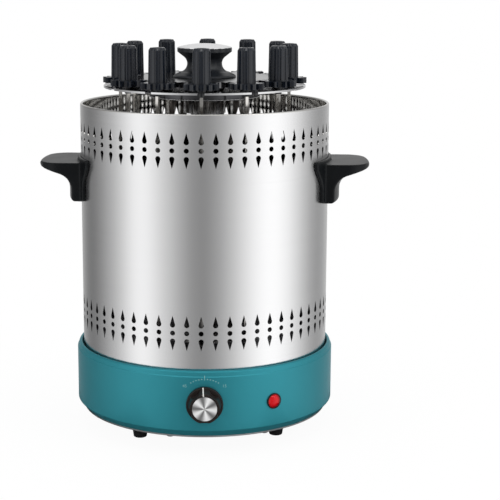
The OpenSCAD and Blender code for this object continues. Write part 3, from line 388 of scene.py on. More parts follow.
finishes = {
    "teal_paint": paint("teal_paint"),
    "barrel_steel": brushed_barrel("barrel_steel"),
    "barrel_inside": barrel_lining_painted_shade("barrel_inside"),
    "disc_steel": metal("disc_steel", (0.66, 0.66, 0.67), (0.72, 0.72, 0.73), 0.06),
    "rod_steel": metal("rod_steel", (0.62, 0.60, 0.57), (0.72, 0.70, 0.67), 0.16,
                       streaks=(30, 30, 1)),
    "zinc_steel": metal("zinc_steel", (0.50, 0.52, 0.53), (0.60, 0.62, 0.63), 0.34),
    "tray_steel": metal("tray_steel", (0.40, 0.40, 0.41), (0.50, 0.50, 0.51), 0.28),
    "gear_metal": metal("gear_metal", (0.20, 0.20, 0.21), (0.28, 0.28, 0.29), 0.16),
    "black_plastic": plastic("black_plastic", (0.004, 0.005, 0.006), (0.006, 0.007, 0.008), 0.3,
                             grain=0.6, gloss=0.14),
    "grip_plastic": plastic("grip_plastic", (0.006, 0.008, 0.013), (0.008, 0.011, 0.017), 0.13,
                            grain=0.4, edge=0, gloss=0.5),
    "spool_plastic": plastic("spool_plastic", (0.006, 0.008, 0.011), (0.008, 0.010, 0.014), 0.34,
                             grain=0.5, gloss=0.5),
    # The dish under the disc is near black: painted shade of the disc above it
    "dish_painted_shade": metal("dish_painted_shade", (0.05, 0.05, 0.055), (0.08, 0.08, 0.085), 0.12, streaks=ROUND),
    "hub_plastic": metal("hub_casting", (0.40, 0.40, 0.41), (0.50, 0.50, 0.51), 0.07, streaks=ROUND),
    "knob_plastic": plastic("knob_plastic", (0.013, 0.009, 0.008), (0.019, 0.014, 0.012), 0.42,
                            gloss=0.25),
    "cap_chrome": metal("cap_chrome", (0.84, 0.84, 0.85), (0.90, 0.90, 0.91), 0.14, metallic=0.7),
    "rubber": plastic("rubber", (0.010, 0.010, 0.011), (0.016, 0.016, 0.017), 0.6, grain=1.0),
    "heater_tube": metal("heater_tube", (0.20, 0.18, 0.17), (0.32, 0.29, 0.27), 0.4),
    "porcelain": plastic("porcelain", (0.70, 0.66, 0.56), (0.78, 0.75, 0.66), 0.45),
    "bronze": metal("bronze", (0.52, 0.32, 0.12), (0.62, 0.40, 0.17), 0.35),
    "cream_plastic": plastic("cream_plastic", (0.62, 0.58, 0.48), (0.70, 0.66, 0.56), 0.45),
    "brown_plastic": plastic("brown_plastic", (0.05, 0.035, 0.025), (0.08, 0.055, 0.04), 0.4),
    "red_lens": lens_red_painted_shade("red_lens"),
    "spun_cap": spun_metal_painted_rays("spun_cap"),
    "pointer_white": plastic("pointer_white", (0.72, 0.72, 0.70), (0.78, 0.78, 0.76), 0.4, edge=0),
    "print": printed("print"),
}


def dress_nodes():
    """Gives every CAD node the finish of its material slot."""
    for row in frame["record"]["subparts"]:
        node = frame["nodes"][row["node"]]
        node.data.materials.clear()
        node.data.materials.append(finishes[row["material_slot"]])


# Shape helpers: a shape is a list of points and a list of faces, in millimetres

def polar(radius, angle):
    """A point at an angle in radians."""
    return (radius * math.cos(angle), radius * math.sin(angle))


def arc(centre, radius, start, end, steps):
    """Points on an arc, with its angles in degrees."""
    angles = [math.radians(start + (end - start) * i / steps) for i in range(steps + 1)]
    return [(centre[0] + radius * math.cos(a), centre[1] + radius * math.sin(a)) for a in angles]


def rounded(corners, steps=5):
    """A path through corners of (x, y, radius), with each corner rounded."""
    path = []
    count = len(corners)
    for i, (x, y, radius) in enumerate(corners):
        here = Vector((x, y))
        if radius == 0 or i in (0, count - 1):
            path.append((x, y))
            continue
        back = (Vector(corners[i - 1][:2]) - here).normalized()
        ahead = (Vector(corners[(i + 1) % count][:2]) - here).normalized()
        half = back.angle(ahead) / 2
        middle = here + (back + ahead).normalized() * radius / math.sin(half)
        first = here + back * radius / math.tan(half) - middle
        last = here + ahead * radius / math.tan(half) - middle
        start = math.atan2(first.y, first.x)
        sweep = (math.atan2(last.y, last.x) - start + math.pi) % FULL - math.pi
        for step in range(steps + 1):
            bent = polar(radius, start + sweep * step / steps)
            path.append((middle.x + bent[0], middle.y + bent[1]))
    return path


def revolve(profile, count=BASE_COLUMNS, turn=0):
    """A profile of (radius, height) turned about the axis; it climbs on its outer side."""
    points = []
    rows = []
    for radius, height in profile:
        if radius < 1e-6:
            rows.append([len(points)])
            points.append((0, 0, height))
            continue
        rows.append(list(range(len(points), len(points) + count)))
        points += [(*polar(radius, turn + FULL * i / count), height) for i in range(count)]
    faces = []
    for low, high in zip(rows, rows[1:]):
        for i in range(count):
            j = (i + 1) % count
            if len(low) == 1:
                faces.append((low[0], high[j], high[i]))
            elif len(high) == 1:
                faces.append((low[i], low[j], high[0]))
            else:
                faces.append((low[i], low[j], high[j], high[i]))
    return points, faces


def loft(rings, close_low=True, close_high=True):
    """Rings of points joined one after the next, with flat ends."""
    count = len(rings[0])
    points = [p for ring in rings for p in ring]
    faces = []
    for level in range(len(rings) - 1):
        base = level * count
        for i in range(count):
            j = (i + 1) % count
            faces.append((base + i, base + j, base + count + j, base + count + i))
    if close_low:
        faces.append(tuple(reversed(range(count))))
    if close_high:
        faces.append(tuple(range((len(rings) - 1) * count, len(rings) * count)))
    return points, faces


def joined(*shapes):
    """Several shapes as one."""
    points = []
    faces = []
    for more_points, more_faces in shapes:
        start = len(points)
        points += list(more_points)
        faces += [tuple(start + i for i in face) for face in more_faces]
    return points, faces


def welded(shape, grid=1e-3):
    """The same shape with points that lie on each other made one."""
    points, faces = shape
    seen = {}
    kept = []
    place = []
    for point in points:
        key = tuple(round(c / grid) for c in point)
        if key not in seen:
            seen[key] = len(kept)
            kept.append(point)
        place.append(seen[key])
    merged = [tuple(dict.fromkeys(place[i] for i in face)) for face in faces]
    return kept, [face for face in merged if len(face) > 2]


def raised(shape, rise):
    """A shape moved up by rise."""
    return [(x, y, z + rise) for x, y, z in shape[0]], shape[1]


def inset(loop, distance):
    """A closed outline moved inwards; it runs with its material on the left."""
    moved = []
    count = len(loop)
    for i in range(count):
        here = Vector(loop[i])
        back = (here - Vector(loop[i - 1])).normalized()
        ahead = (Vector(loop[(i + 1) % count]) - here).normalized()
        normal = Vector((-back.y, back.x)) + Vector((-ahead.y, ahead.x))
        length = max(normal.length, 1e-6)
        reach = distance * 2 / max(length * length, 1)
        moved.append((here.x + normal.x * reach, here.y + normal.y * reach))
    return moved


def plate(loops, low, high, edge):
    """A flat plate of one outer outline and its holes, with rounded edges."""
    levels = []
    for step in range(EDGE_STEPS + 1):
        angle = math.pi / 2 * step / EDGE_STEPS
        levels.append((edge * (1 - math.sin(angle)), low + edge * (1 - math.cos(angle))))
    levels += [(distance, low + high - z) for distance, z in reversed(levels)]
    parts = []
    for loop in loops:
        rings = [[(*p, z) for p in inset(loop, distance)] for distance, z in levels]
        parts.append(loft(rings, False, False))
    flat = [[Vector((*p, 0)) for p in inset(loop, edge)] for loop in loops]
    triangles = tessellate_polygon(flat)
    corners = [p for loop in flat for p in loop]
    for z, up in ((low, False), (high, True)):
        faces = []
        for a, b, c in triangles:
            side = (corners[b] - corners[a]).cross(corners[c] - corners[a]).z
            faces.append((a, b, c) if (side > 0) == up else (c, b, a))
        parts.append(([(p.x, p.y, z) for p in corners], faces))
    return welded(joined(*parts))


def new_object(name, data):
    """An object that is in the scene."""
    made = bpy.data.objects.new(name, data)
    bpy.context.scene.collection.objects.link(made)
    return made


def evaluated(thing):
    """An object as its modifiers or its text make it."""
    bpy.context.view_layer.update()
    return thing.evaluated_get(bpy.context.evaluated_depsgraph_get())


def mesh_of(name, shape, *materials):
    """A smooth-shaded mesh in metres, sharp where its faces turn by more than SHARP_TURN."""
    mesh = bpy.data.meshes.new(name)
    mesh.from_pydata([Vector(p) * MM for p in shape[0]], [], shape[1])
    for material in materials:
        mesh.materials.append(finishes[material])
    mesh.shade_smooth()
    mesh.set_sharp_from_angle(angle=SHARP_TURN)
    return mesh


def put(name, mesh, body, nodes=(), place=None, weighted=True):
    """A piece on a body, that stands for the named CAD nodes."""
    piece = new_object(name, mesh)
    if place:
        piece.matrix_world = place
    if weighted:
        normals = piece.modifiers.new("normals", "WEIGHTED_NORMAL")
        normals.keep_sharp = True
    if nodes:
        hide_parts(*nodes)
    bpy.context.view_layer.update()
    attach(piece, body)


def facing_out(azimuth, height, out=0):
    """The place of a piece whose own Z points out of the base at an azimuth from the front."""
    turn = Matrix.Rotation(math.radians(azimuth), 4, "Z")
    lift = Matrix.Translation((0, -out * MM, height * MM))
    return turn @ lift @ Matrix.Rotation(math.pi / 2, 4, "X")


# Pierced sheets: drawn flat, cut, then wrapped round the axis

def circle_loop(x, y, radius, count=20):
    """A round hole."""
    return [(x + p[0], y + p[1]) for p in (polar(radius, FULL * i / count) for i in range(count))]


def drop_loop(x, y, way):
    """A teardrop hole with its blunt end at y and its tip up or down."""
    reach = DROP_L - DROP_R
    touch = math.degrees(math.acos(DROP_R / reach))
    bow = arc((0, DROP_R), DROP_R, 90 + touch, 450 - touch, DROP_STEPS)
    loop = [(x + px, y + way * py) for px, py in bow + [(0, DROP_R + reach)]]
    return loop if way > 0 else loop[::-1]


def in_loop(loop, x, y):
    """Whether a point lies in a closed loop."""
    inside = False
    for (ax, ay), (bx, by) in zip(loop, loop[1:] + loop[:1]):
        if (ay > y) != (by > y) and x < (bx - ax) * (y - ay) / (by - ay) + ax:
            inside = not inside
    return inside


def flat_sheet(left, right, low, high, columns, rows, holes):
    """Triangles of a rectangle with holes; its sides are cut into columns and rows."""
    across = [left + (right - left) * i / columns for i in range(columns + 1)]
    up = [low + (high - low) * i / rows for i in range(rows + 1)]
    border = [(x, low) for x in across[:-1]] + [(right, y) for y in up[:-1]]
    border += [(x, high) for x in reversed(across[1:])] + [(left, y) for y in reversed(up[1:])]
    points = []
    edges = []
    for loop in [border] + holes:
        start = len(points)
        count = len(loop)
        points += [Vector(p) for p in loop]
        edges += [(start + i, start + (i + 1) % count) for i in range(count)]
    made, _, triangles, *_ = delaunay_2d_cdt(points, edges, [], 0, 1e-6)
    kept = []
    for face in triangles:
        x = sum(made[i].x for i in face) / 3
        y = sum(made[i].y for i in face) / 3
        if not any(in_loop(loop, x, y) for loop in holes):
            side = (made[face[1]] - made[face[0]]).cross(made[face[2]] - made[face[0]])
            kept.append(tuple(face) if side > 0 else tuple(reversed(face)))
    return [(p.x, p.y) for p in made], kept


def wrapped(points, radius, reference, turn):
    """Flat points (along, height) on a cylinder; along is measured on the reference radius."""
    spots = []
    for along, height in points:
        azimuth = turn + along / reference
        spots.append((radius * math.sin(azimuth), -radius * math.cos(azimuth), height))
    return spots


def wrapped_sheet(flat, holes, outer, inner, turn):
    """Outer face, inner face and hole walls of a flat sheet wrapped round the axis."""
    points, faces = flat
    outside = (wrapped(points, outer, outer, turn), faces)
    inside = (wrapped(points, inner, outer, turn), [tuple(reversed(face)) for face in faces])
    walls = []
    for loop in holes:
        count = len(loop)
        ring = wrapped(loop, outer, outer, turn) + wrapped(loop, inner, outer, turn)
        side = [(i, (i + 1) % count, count + (i + 1) % count, count + i) for i in range(count)]
        walls.append((ring, side))
    return outside, inside, joined(*walls) if walls else ([], [])


def straighten_normals(mesh, outer, inner, low, high):
    """Makes the shading of the two cylindrical faces of a wall exactly round."""
    normals = []
    for polygon in mesh.polygons:
        middle = polygon.center / MM
        spot = Vector((middle.x, middle.y, 0))
        facing = polygon.normal.dot(spot.normalized())
        on_wall = abs(polygon.normal.z) < 0.02 and low < middle.z < high and abs(facing) > 0.98
        for index in polygon.vertices:
            corner = mesh.vertices[index].co
            reach = math.hypot(corner.x, corner.y) / MM
            near = min(abs(reach - outer), abs(reach - inner)) < 0.01
            if on_wall and near:
                out = Vector((corner.x, corner.y, 0)).normalized()
                normals.append(out if facing > 0 else -out)
            else:
                normals.append(Vector((0, 0, 0)))
    mesh.normals_split_custom_set(normals)


# Barrel

def add_barrel():
    """The perforated barrel: brushed outside, polished inside, with its rolled rim.

    It has no screw holes, unlike the solid that it stands for.
    """
    columns = 4
    inner_r = BARREL_R - BARREL_WALL
    cell = FULL * BARREL_R / VENT_COLUMNS
    bead_z = RIM_Z - BEAD_R
    bead_x = BARREL_R - BEAD_R
    meet = math.degrees(math.acos((inner_r - bead_x) / BEAD_R))
    meet_z = bead_z - BEAD_R * math.sin(math.radians(meet))
    foot_z = DECK_Z + BARREL_WALL
    half = 20
    row_h = 12
    low_row, high_row = VENT_ROWS
    bands = [(foot_z, low_row - half, False), (low_row - half, low_row + half, True),
             (low_row + half, high_row - half, False), (high_row - half, high_row + half, True),
             (high_row + half, meet_z, False)]
    outside = []
    inside = []
    for low, high, vented in bands:
        middle = (low + high) / 2
        holes = []
        if vented:
            holes = [circle_loop(0, middle, VENT_DOT_R), drop_loop(0, middle + DROP_GAP, 1),
                     drop_loop(0, middle - DROP_GAP, -1)]
        rows = 1 if vented else max(1, round((high - low) / row_h))
        flat = flat_sheet(-cell / 2, cell / 2, low, high, columns, rows, holes)
        for i in range(VENT_COLUMNS):
            turn = math.radians(VENT_TURN) + FULL * i / VENT_COLUMNS
            out, back, walls = wrapped_sheet(flat, holes, BARREL_R, inner_r, turn)
            outside.append(out)
            inside += [back, walls]
    phase = math.radians(VENT_TURN - 90) + FULL / VENT_COLUMNS / 2
    count = VENT_COLUMNS * columns
    flange_x = BARREL_R - FLANGE_W
    foot = revolve([(flange_x, foot_z), (flange_x, DECK_Z), (BARREL_R, DECK_Z), (BARREL_R, foot_z)],
                   count, phase)
    flange = revolve([(inner_r, foot_z), (flange_x, foot_z)], count, phase)
    neck = revolve([(BARREL_R, meet_z), (BARREL_R, bead_z)], count, phase)
    bead = revolve(arc((bead_x, bead_z), BEAD_R, 0, 360 - meet, 16), count, phase)
    plain = [foot, flange, bead]
    shape = joined(*outside, neck, *inside, *plain)
    polished_from = sum(len(s[1]) for s in outside) + len(neck[1])
    mesh = bpy.data.meshes.new("barrel_sheet")
    mesh.from_pydata([Vector(p) * MM for p in shape[0]], [], shape[1])
    mesh.materials.append(finishes["barrel_steel"])
    mesh.materials.append(finishes["barrel_inside"])
    mesh.polygons.foreach_set("material_index", [int(i >= polished_from) for i in range(len(shape[1]))])
    weld_mesh(mesh)
    mesh.shade_smooth()
    mesh.set_sharp_from_angle(angle=SHARP_TURN)
    straighten_normals(mesh, BARREL_R, inner_r, foot_z, bead_z)
    put("barrel_sheet", mesh, "root", ["barrel"], weighted=False)


def weld_mesh(mesh):
    """Joins points that lie on each other."""
    work = bmesh.new()
    work.from_mesh(mesh)
    bmesh.ops.remove_doubles(work, verts=work.verts, dist=0.002 * MM)
    work.to_mesh(mesh)
    work.free()


# Base

def add_base():
    """The painted base: one pressed shell with a creased shoulder and a sloped hem.

    It has the holes of timer, lamp and cord, but not the solid's screw holes and inner bosses.
    """
    lip_r = BARREL_R + LIP_GAP
    foot_x = BASE_R - HEM_W
    hem_z = BASE_Z + HEM_H
    slant = math.hypot(HEM_W, HEM_H)
    inner_foot_x = foot_x - BASE_WALL * slant / HEM_H
    inner_r = BASE_R - BASE_WALL
    inner_hem_z = BASE_Z + (inner_r - inner_foot_x) * HEM_H / HEM_W
    deck_z = DECK_Z - 1.2
    ledge_z = deck_z - 2
    ledge_r = BARREL_R - FLANGE_W - BARREL_WALL
    wall_low = hem_z + 1.2
    wall_high = ledge_z - 0.4
    hem = rounded([(inner_r, wall_low, 0), (inner_r, inner_hem_z, 1), (inner_foot_x, BASE_Z, 0.3),
                   (foot_x, BASE_Z, 0.3), (BASE_R, hem_z, 1), (BASE_R, wall_low, 0)])
    top = rounded([(BASE_R, wall_high, 0), (BASE_R, CREASE_Z, 0.5),
                   (BASE_R - CREASE_W, CREASE_Z + 0.8, 0.4), (BASE_R - 1.7, BASE_TOP_Z - 2, 3),
                   (lip_r, BASE_TOP_Z, 1), (lip_r, deck_z, 0), (ledge_r, deck_z, 0),
                   (ledge_r, ledge_z, 0), (inner_r, ledge_z, 0), (inner_r, wall_high, 0)])
    around = FULL * BASE_R
    holes = [circle_loop(around / 4, TIMER_Z, TIMER_HOLE_R, 32),
             circle_loop(around * (1 / 4 + LAMP_AZIMUTH / 360), LAMP_Z, LAMP_HOLE_R, 32),
             circle_loop(around * 3 / 4, GLAND_Z, GLAND_HOLE_R, 32)]
    flat = flat_sheet(0, around, wall_low, wall_high, BASE_COLUMNS, 1, holes)
    wall = wrapped_sheet(flat, holes, BASE_R, inner_r, -math.pi / 2)
    shape = welded(joined(revolve(hem), revolve(top), *wall), 2e-3)
    mesh = mesh_of("base_shell", shape, "teal_paint")
    straighten_normals(mesh, BASE_R, inner_r, wall_low, wall_high)
    put("base_shell", mesh, "root", ["base_housing"], weighted=False)


# Gears and grips

def involute(angle):
    """The turn of an involute about its centre, at the point with this pressure angle."""
    return math.tan(angle) - angle


def gear_outline(teeth, reach, turn):
    """Outline of a spur gear whose teeth reach as far out as in, with one centred on turn."""
    pitch_r = GEAR_MODULE * teeth / 2
    pressure = math.radians(PRESSURE_ANGLE)
    base_r = pitch_r * math.cos(pressure)
    tip_r = pitch_r + reach
    root_r = pitch_r - reach
    start_r = max(root_r, base_r)
    radii = [start_r + (tip_r - start_r) * k / FLANK_STEPS for k in range(FLANK_STEPS + 1)]
    middle_half = math.pi / 2 / teeth - BACKLASH / 4 / pitch_r + involute(pressure)
    halves = [middle_half - involute(math.acos(min(base_r / r, 1))) for r in radii]
    outline = []
    for i in range(teeth):
        middle = turn + i * FULL / teeth
        if root_r < start_r - 1e-6:
            outline.append(polar(root_r, middle - halves[0]))
        outline += [polar(r, middle - h) for r, h in zip(radii, halves)]
        outline += [polar(r, middle + h) for r, h in reversed(list(zip(radii, halves)))]
        if root_r < start_r - 1e-6:
            outline.append(polar(root_r, middle + halves[0]))
    return outline


def smooth_min(a, b, blend):
    """The smaller of two values, with the corner between them rounded."""
    mix = max(blend - abs(a - b), 0) / blend
    return min(a, b) - mix * mix * blend / 4


def grip_shape():
    """The fluted grip of a skewer, its pinion, its collar and its locating stub.

    It is closed where the solid has a bore, so the rod runs on inside it.
    """
    body_h = GRIP_H - GRIP_CHAMFER_H
    lean = (GRIP_FOOT_R - GRIP_TOP_R) / body_h
    per_groove = 20
    count = PINION_TEETH * per_groove
    chamfer_x = GRIP_TOP_R - GRIP_CHAMFER_W
    plain_h = 0.6
    dimple_r = 4.5
    dimple_z = GRIP_H - 0.8
    side = [(GRIP_FOOT_R, 0), (GRIP_FOOT_R, 0.59), (GRIP_FOOT_R, plain_h)]
    side += [(GRIP_FOOT_R - lean * z, z) for z in (6, 12, 18, 24)]
    side += rounded([(GRIP_FOOT_R - lean * 27, 27, 0), (GRIP_TOP_R, body_h, 0.4),
                     (chamfer_x, GRIP_H, 0.3), (dimple_r, GRIP_H, 0.15),
                     (dimple_r - 0.3, dimple_z, 0.2), (0.2, dimple_z, 0)], 4)
    rings = []
    for radius, height in side:
        centre = GRIP_FOOT_R + GRIP_GROOVE_R * 0.4 - lean * height
        ring = []
        for i in range(count):
            angle = FULL * i / count
            off = (angle / FULL * PINION_TEETH) % 1 - 0.5
            off *= FULL / PINION_TEETH
            reach = radius
            bite = centre * math.sin(abs(off))
            if height >= plain_h and bite < GRIP_GROOVE_R:
                groove = centre * math.cos(off) - math.sqrt(GRIP_GROOVE_R ** 2 - bite ** 2)
                reach = smooth_min(radius, groove, 0.35)
            ring.append((*polar(reach, angle + math.pi / 2), height))
        rings.append(ring)
    grip = raised(loft(rings), GEAR_TOP_Z)
    outline = gear_outline(PINION_TEETH, TOOTH_SHARE * GEAR_MODULE, math.pi / 2)
    pinion = plate([outline], GEAR_Z, GEAR_TOP_Z, 0.25)
    collar_r = SLOT_W / 2 + 2
    collar_z = DISC_TOP_Z + GAP
    collar = revolve([(0, collar_z), (collar_r, collar_z), (collar_r, GEAR_Z), (0, GEAR_Z)], 48)
    stub_r = SLOT_W / 2 - GAP
    stub_z = DISC_TOP_Z - 5
    stub = revolve([(0, stub_z)] + rounded([(0, stub_z, 0), (stub_r, stub_z, 0.3),
                                            (stub_r, collar_z, 0)])[1:] + [(0, collar_z)], 48)
    return joined(grip, pinion, collar, stub)


def add_skewers():
    """The grips of the twelve skewers; each turns on its own body."""
    mesh = mesh_of("skewer_grip", grip_shape(), "grip_plastic")
    for n in range(1, SKEWERS + 1):
        turn = math.radians(SKEWER_TURN + (n - 1) * 360 / SKEWERS)
        place = Matrix.Rotation(turn, 4, "Z") @ Matrix.Translation((0, -SKEWER_CIRCLE_R * MM, 0))
        put(f"skewer_grip_{n:02d}", mesh, f"skewer_{n:02d}",
            [f"skewer_handle_{n:02d}"], place)


# Carousel

def add_dish():
    """The polished dish pressed against the underside of the disc, with its rolled lower edge; its
    near-black colour is painted shade under the disc.
    """
    high = DISC_TOP_Z - DISC_T - GAP
    low = high - DISH_H
    wall_r = DISH_R - 2 * DISH_BEAD_R
    bead_z = low + DISH_BEAD_R
    side = rounded([(DISH_HOLE_R, high - 1, 0), (wall_r - 1, high - 1, 0.5), (wall_r - 1, bead_z, 0),
                    (wall_r, bead_z, 0), (wall_r, high, 1), (DISH_HOLE_R, high, 0)])
    dish = welded(revolve(side + side[:1], 128))
    put("hub_dish", mesh_of("hub_dish", dish, "dish_painted_shade"), "carousel")
    ring = arc((wall_r - 0.2, low + DISH_BEAD_R), DISH_BEAD_R, 90, 450, 14)
    bead = welded(revolve(ring, 128))
    put("hub_dish_bead", mesh_of("hub_dish_bead", bead, "cap_chrome"), "carousel")


# Lift knob

def add_lift_knob():
    """The spool-shaped knob and its domed metal cap."""
    groove_x = KNOB_WAIST_R + KNOB_GROOVE_R
    rim_z = KNOB_H - KNOB_RIM_T
    rise = rim_z - KNOB_WAIST_Z
    span = math.hypot(KNOB_TOP_R - groove_x, rise)
    touch = math.degrees(math.atan2(rise, KNOB_TOP_R - groove_x) + math.acos(KNOB_GROOVE_R / span))
    waist = arc((groove_x, KNOB_WAIST_Z), KNOB_GROOVE_R, 262, touch, 28)
    foot = rounded([(0, 0, 0), (KNOB_FLANGE_R, 0, 0.35), (KNOB_FLANGE_R, 1, 0.35),
                    (KNOB_FLANGE_R - 1.2, 2.2, 0.8), (*waist[0], 0)])
    rim = rounded([(*waist[-1], 0), (KNOB_TOP_R, rim_z, 0.35), (KNOB_TOP_R, KNOB_H, 0.35),
                   (0, KNOB_H, 0)])
    shape = raised(revolve(foot + waist[1:] + rim[1:]), GEAR_TOP_Z)
    put("lift_spool", mesh_of("lift_spool", shape, "spool_plastic"), "sun",
        ["lift_knob"])
    cap_r = KNOB_TOP_R - 0.4
    edge_z = 0.6
    bow = KNOB_CAP_RISE - edge_z
    dome_r = (cap_r * cap_r + bow * bow) / 2 / bow
    edge = math.degrees(math.asin(cap_r / dome_r))
    dome = arc((0, KNOB_CAP_RISE - dome_r), dome_r, 90 - edge * 0.985, 90, 24)
    side = rounded([(0, 0, 0), (cap_r, 0, 0), (cap_r, edge_z, 0.3), (*dome[0], 0)])
    cap = raised(revolve(side + dome[1:-1] + [(0, KNOB_CAP_RISE)]), GEAR_TOP_Z + KNOB_H)
    put("lift_cap", mesh_of("lift_cap", cap, "cap_chrome"), "sun", ["lift_knob_cap"])


# Side handles

def add_handles():
    """The handles with their edges rounded: a fine skin over the solid, then relaxed."""
    for side in ("left", "right"):
        source = frame["nodes"][f"handle_{side}"]
        mesh = source.data.copy()
        mesh.name = f"grip_{side}"
        mesh.materials.clear()
        mesh.materials.append(finishes["black_plastic"])
        piece = new_object(f"grip_{side}", mesh)
        skin = piece.modifiers.new("skin", "REMESH")
        skin.mode = "VOXEL"
        skin.voxel_size = 0.8 * MM
        skin.use_smooth_shade = True
        relax = piece.modifiers.new("relax", "SMOOTH")
        relax.factor = 0.5
        relax.iterations = 6
        done = bpy.data.meshes.new_from_object(evaluated(piece))
        bpy.data.objects.remove(piece)
        done.name = f"grip_{side}"
        put(f"grip_{side}", done, "root", [f"handle_{side}"], weighted=False)


# Timer knob, its dial and the lamp

def timer_ring(radius, height, hollow_x, low):
    """One ring of the knob's body, with the finger hollows cut into it above low."""
    ring = []
    for i in range(TIMER_COLUMNS):
        angle = FULL * i / TIMER_COLUMNS
        reach = radius
        turn = (angle - math.pi / 2) / FULL * TIMER_HOLLOWS
        off = (turn - 0.5) % 1
        off = min(off, 1 - off) * FULL / TIMER_HOLLOWS
        bite = hollow_x * math.sin(off)
        if height > low and abs(bite) < TIMER_HOLLOW_R and off < math.pi / 2:
            hollow = hollow_x * math.cos(off) - math.sqrt(TIMER_HOLLOW_R ** 2 - bite ** 2)
            reach = smooth_min(radius, hollow, 0.8)
        ring.append((*polar(reach, angle), height))
    return ring


def add_timer_knob():
    """The timer knob: a skirt, a body with finger hollows, a spun cap and a white pointer.

    Its back is closed where the solid has a recess and a bore, so the timer's nut, bush and
    shaft stand inside it, out of sight.
    """
    hollow_x = TIMER_CAP_R + TIMER_CAP_LAND + TIMER_HOLLOW_R
    skirt_top_r = TIMER_SKIRT_R - TIMER_SKIRT_LEAN
    skirt = rounded([(0, 0, 0), (TIMER_SKIRT_R, 0, 0.3), (skirt_top_r, TIMER_SKIRT_T, 0.6),
                     (0, TIMER_SKIRT_T, 0)])
    low = TIMER_SKIRT_T / 2
    lean = (TIMER_BODY_R - TIMER_FACE_R) / TIMER_L
    recess_z = TIMER_L - TIMER_CAP_T
    recess_r = TIMER_CAP_R + TIMER_CAP_GAP
    side = [(TIMER_BODY_R - lean * z, z) for z in (low + 0.01, 4, 7, 10, 12)]
    side += rounded([(TIMER_BODY_R - lean * 12.6, 12.6, 0), (TIMER_FACE_R, TIMER_L, 0.7),
                     (recess_r, TIMER_L, 0.1), (recess_r, recess_z, 0),
                     (0.2, recess_z, 0)], 4)
    rings = [timer_ring(radius, z, hollow_x, low) for radius, z in side]
    body = joined(revolve(skirt, 96), loft(rings))
    place = facing_out(0, TIMER_Z, TIMER_OUT)
    put("timer_grip", mesh_of("timer_grip", body, "knob_plastic"), "timer",
        ["timer_knob"], place)
    cap_z = recess_z + TIMER_CAP_GAP
    cap_top = cap_z + TIMER_CAP_T
    cap = revolve([(0, cap_z)] + rounded([(0, cap_z, 0), (TIMER_CAP_R, cap_z, 0),
                                          (TIMER_CAP_R - 0.35, cap_top, 0.35),
                                          (0.6, cap_top - 0.05, 0)], 4)[1:] + [(0, cap_top - 0.12)], 96)
    put("timer_cap", mesh_of("timer_cap", cap, "spun_cap"), "timer",
        ["timer_knob_cap"], place)
    face_low = TIMER_CAP_R + 0.35
    proud = 0.3
    line = [(TIMER_SKIRT_R - 0.2, TIMER_SKIRT_T - 0.5), (skirt_top_r, TIMER_SKIRT_T + proud),
            (TIMER_BODY_R - lean * 3.2 + proud, TIMER_SKIRT_T + proud),
            (TIMER_FACE_R + proud, TIMER_L - 0.4), (TIMER_FACE_R - 0.1, TIMER_L + 0.04),
            (face_low, TIMER_L + 0.04)]
    half_w = 0.55
    deep = 0.6
    left = [(-half_w, y, z) for y, z in line]
    left += [(-half_w, y - deep, z - deep) for y, z in reversed(line)]
    right = [(half_w, y, z) for _, y, z in left]
    pointer = loft([right, left])
    lean_left = Matrix.Rotation(math.radians(POINTER_TURN), 4, "Z")
    put("timer_pointer", mesh_of("timer_pointer", pointer, "pointer_white"), "timer", (),
        place @ lean_left)


def on_base(x, y, out):
    """A point of the dial's print, wrapped round the base."""
    azimuth = x / BASE_R
    reach = BASE_R + out
    return (reach * math.sin(azimuth), -reach * math.cos(azimuth), TIMER_Z + y)


def tick_shape(angle, low, high, width):
    """A thin printed bar on the dial, from radius low to high."""
    across = Vector((math.cos(angle), -math.sin(angle))) * width / 2
    along = Vector((math.sin(angle), math.cos(angle)))
    flat = [along * low - across, along * low + across, along * high + across, along * high - across]
    points = [on_base(p.x, p.y, out) for out in (INK_LOW, INK_HIGH) for p in flat]
    faces = [(4, 5, 6, 7), (3, 2, 1, 0), (0, 1, 5, 4), (1, 2, 6, 5), (2, 3, 7, 6), (3, 0, 4, 7)]
    return points, faces


def number_shape(text, angle, radius, size):
    """A plain printed number, centred on the dial at an angle."""
    curve = bpy.data.curves.new("number", "FONT")
    curve.body = text
    curve.size = size
    curve.align_x = "CENTER"
    curve.align_y = "CENTER"
    letters = new_object("number", curve)
    mesh = evaluated(letters).to_mesh()
    middle_x = radius * math.sin(angle)
    middle_y = radius * math.cos(angle)
    flat = [(v.co.x + middle_x, v.co.y + middle_y) for v in mesh.vertices]
    faces = [tuple(p.vertices) for p in mesh.polygons]
    bpy.data.objects.remove(letters)
    return [on_base(x, y, INK_HIGH) for x, y in flat], faces


def add_dial():
    """The dial printed round the timer knob: a row of dots, a long tick and two plain numbers."""
    parts = [tick_shape(0, *DIAL_TICK)]
    for step in range(1, DIAL_DOTS + 1):
        for side in (-1, 1):
            parts.append(tick_shape(side * math.radians(step * DIAL_DOT_TURN), *DIAL_DOT))
    for text, turn in DIAL_NUMBERS:
        parts.append(number_shape(text, math.radians(turn), DIAL_NUMBER_R, DIAL_NUMBER_H))
    put("dial_print", mesh_of("dial_print", joined(*parts), "print"), "root", weighted=False)


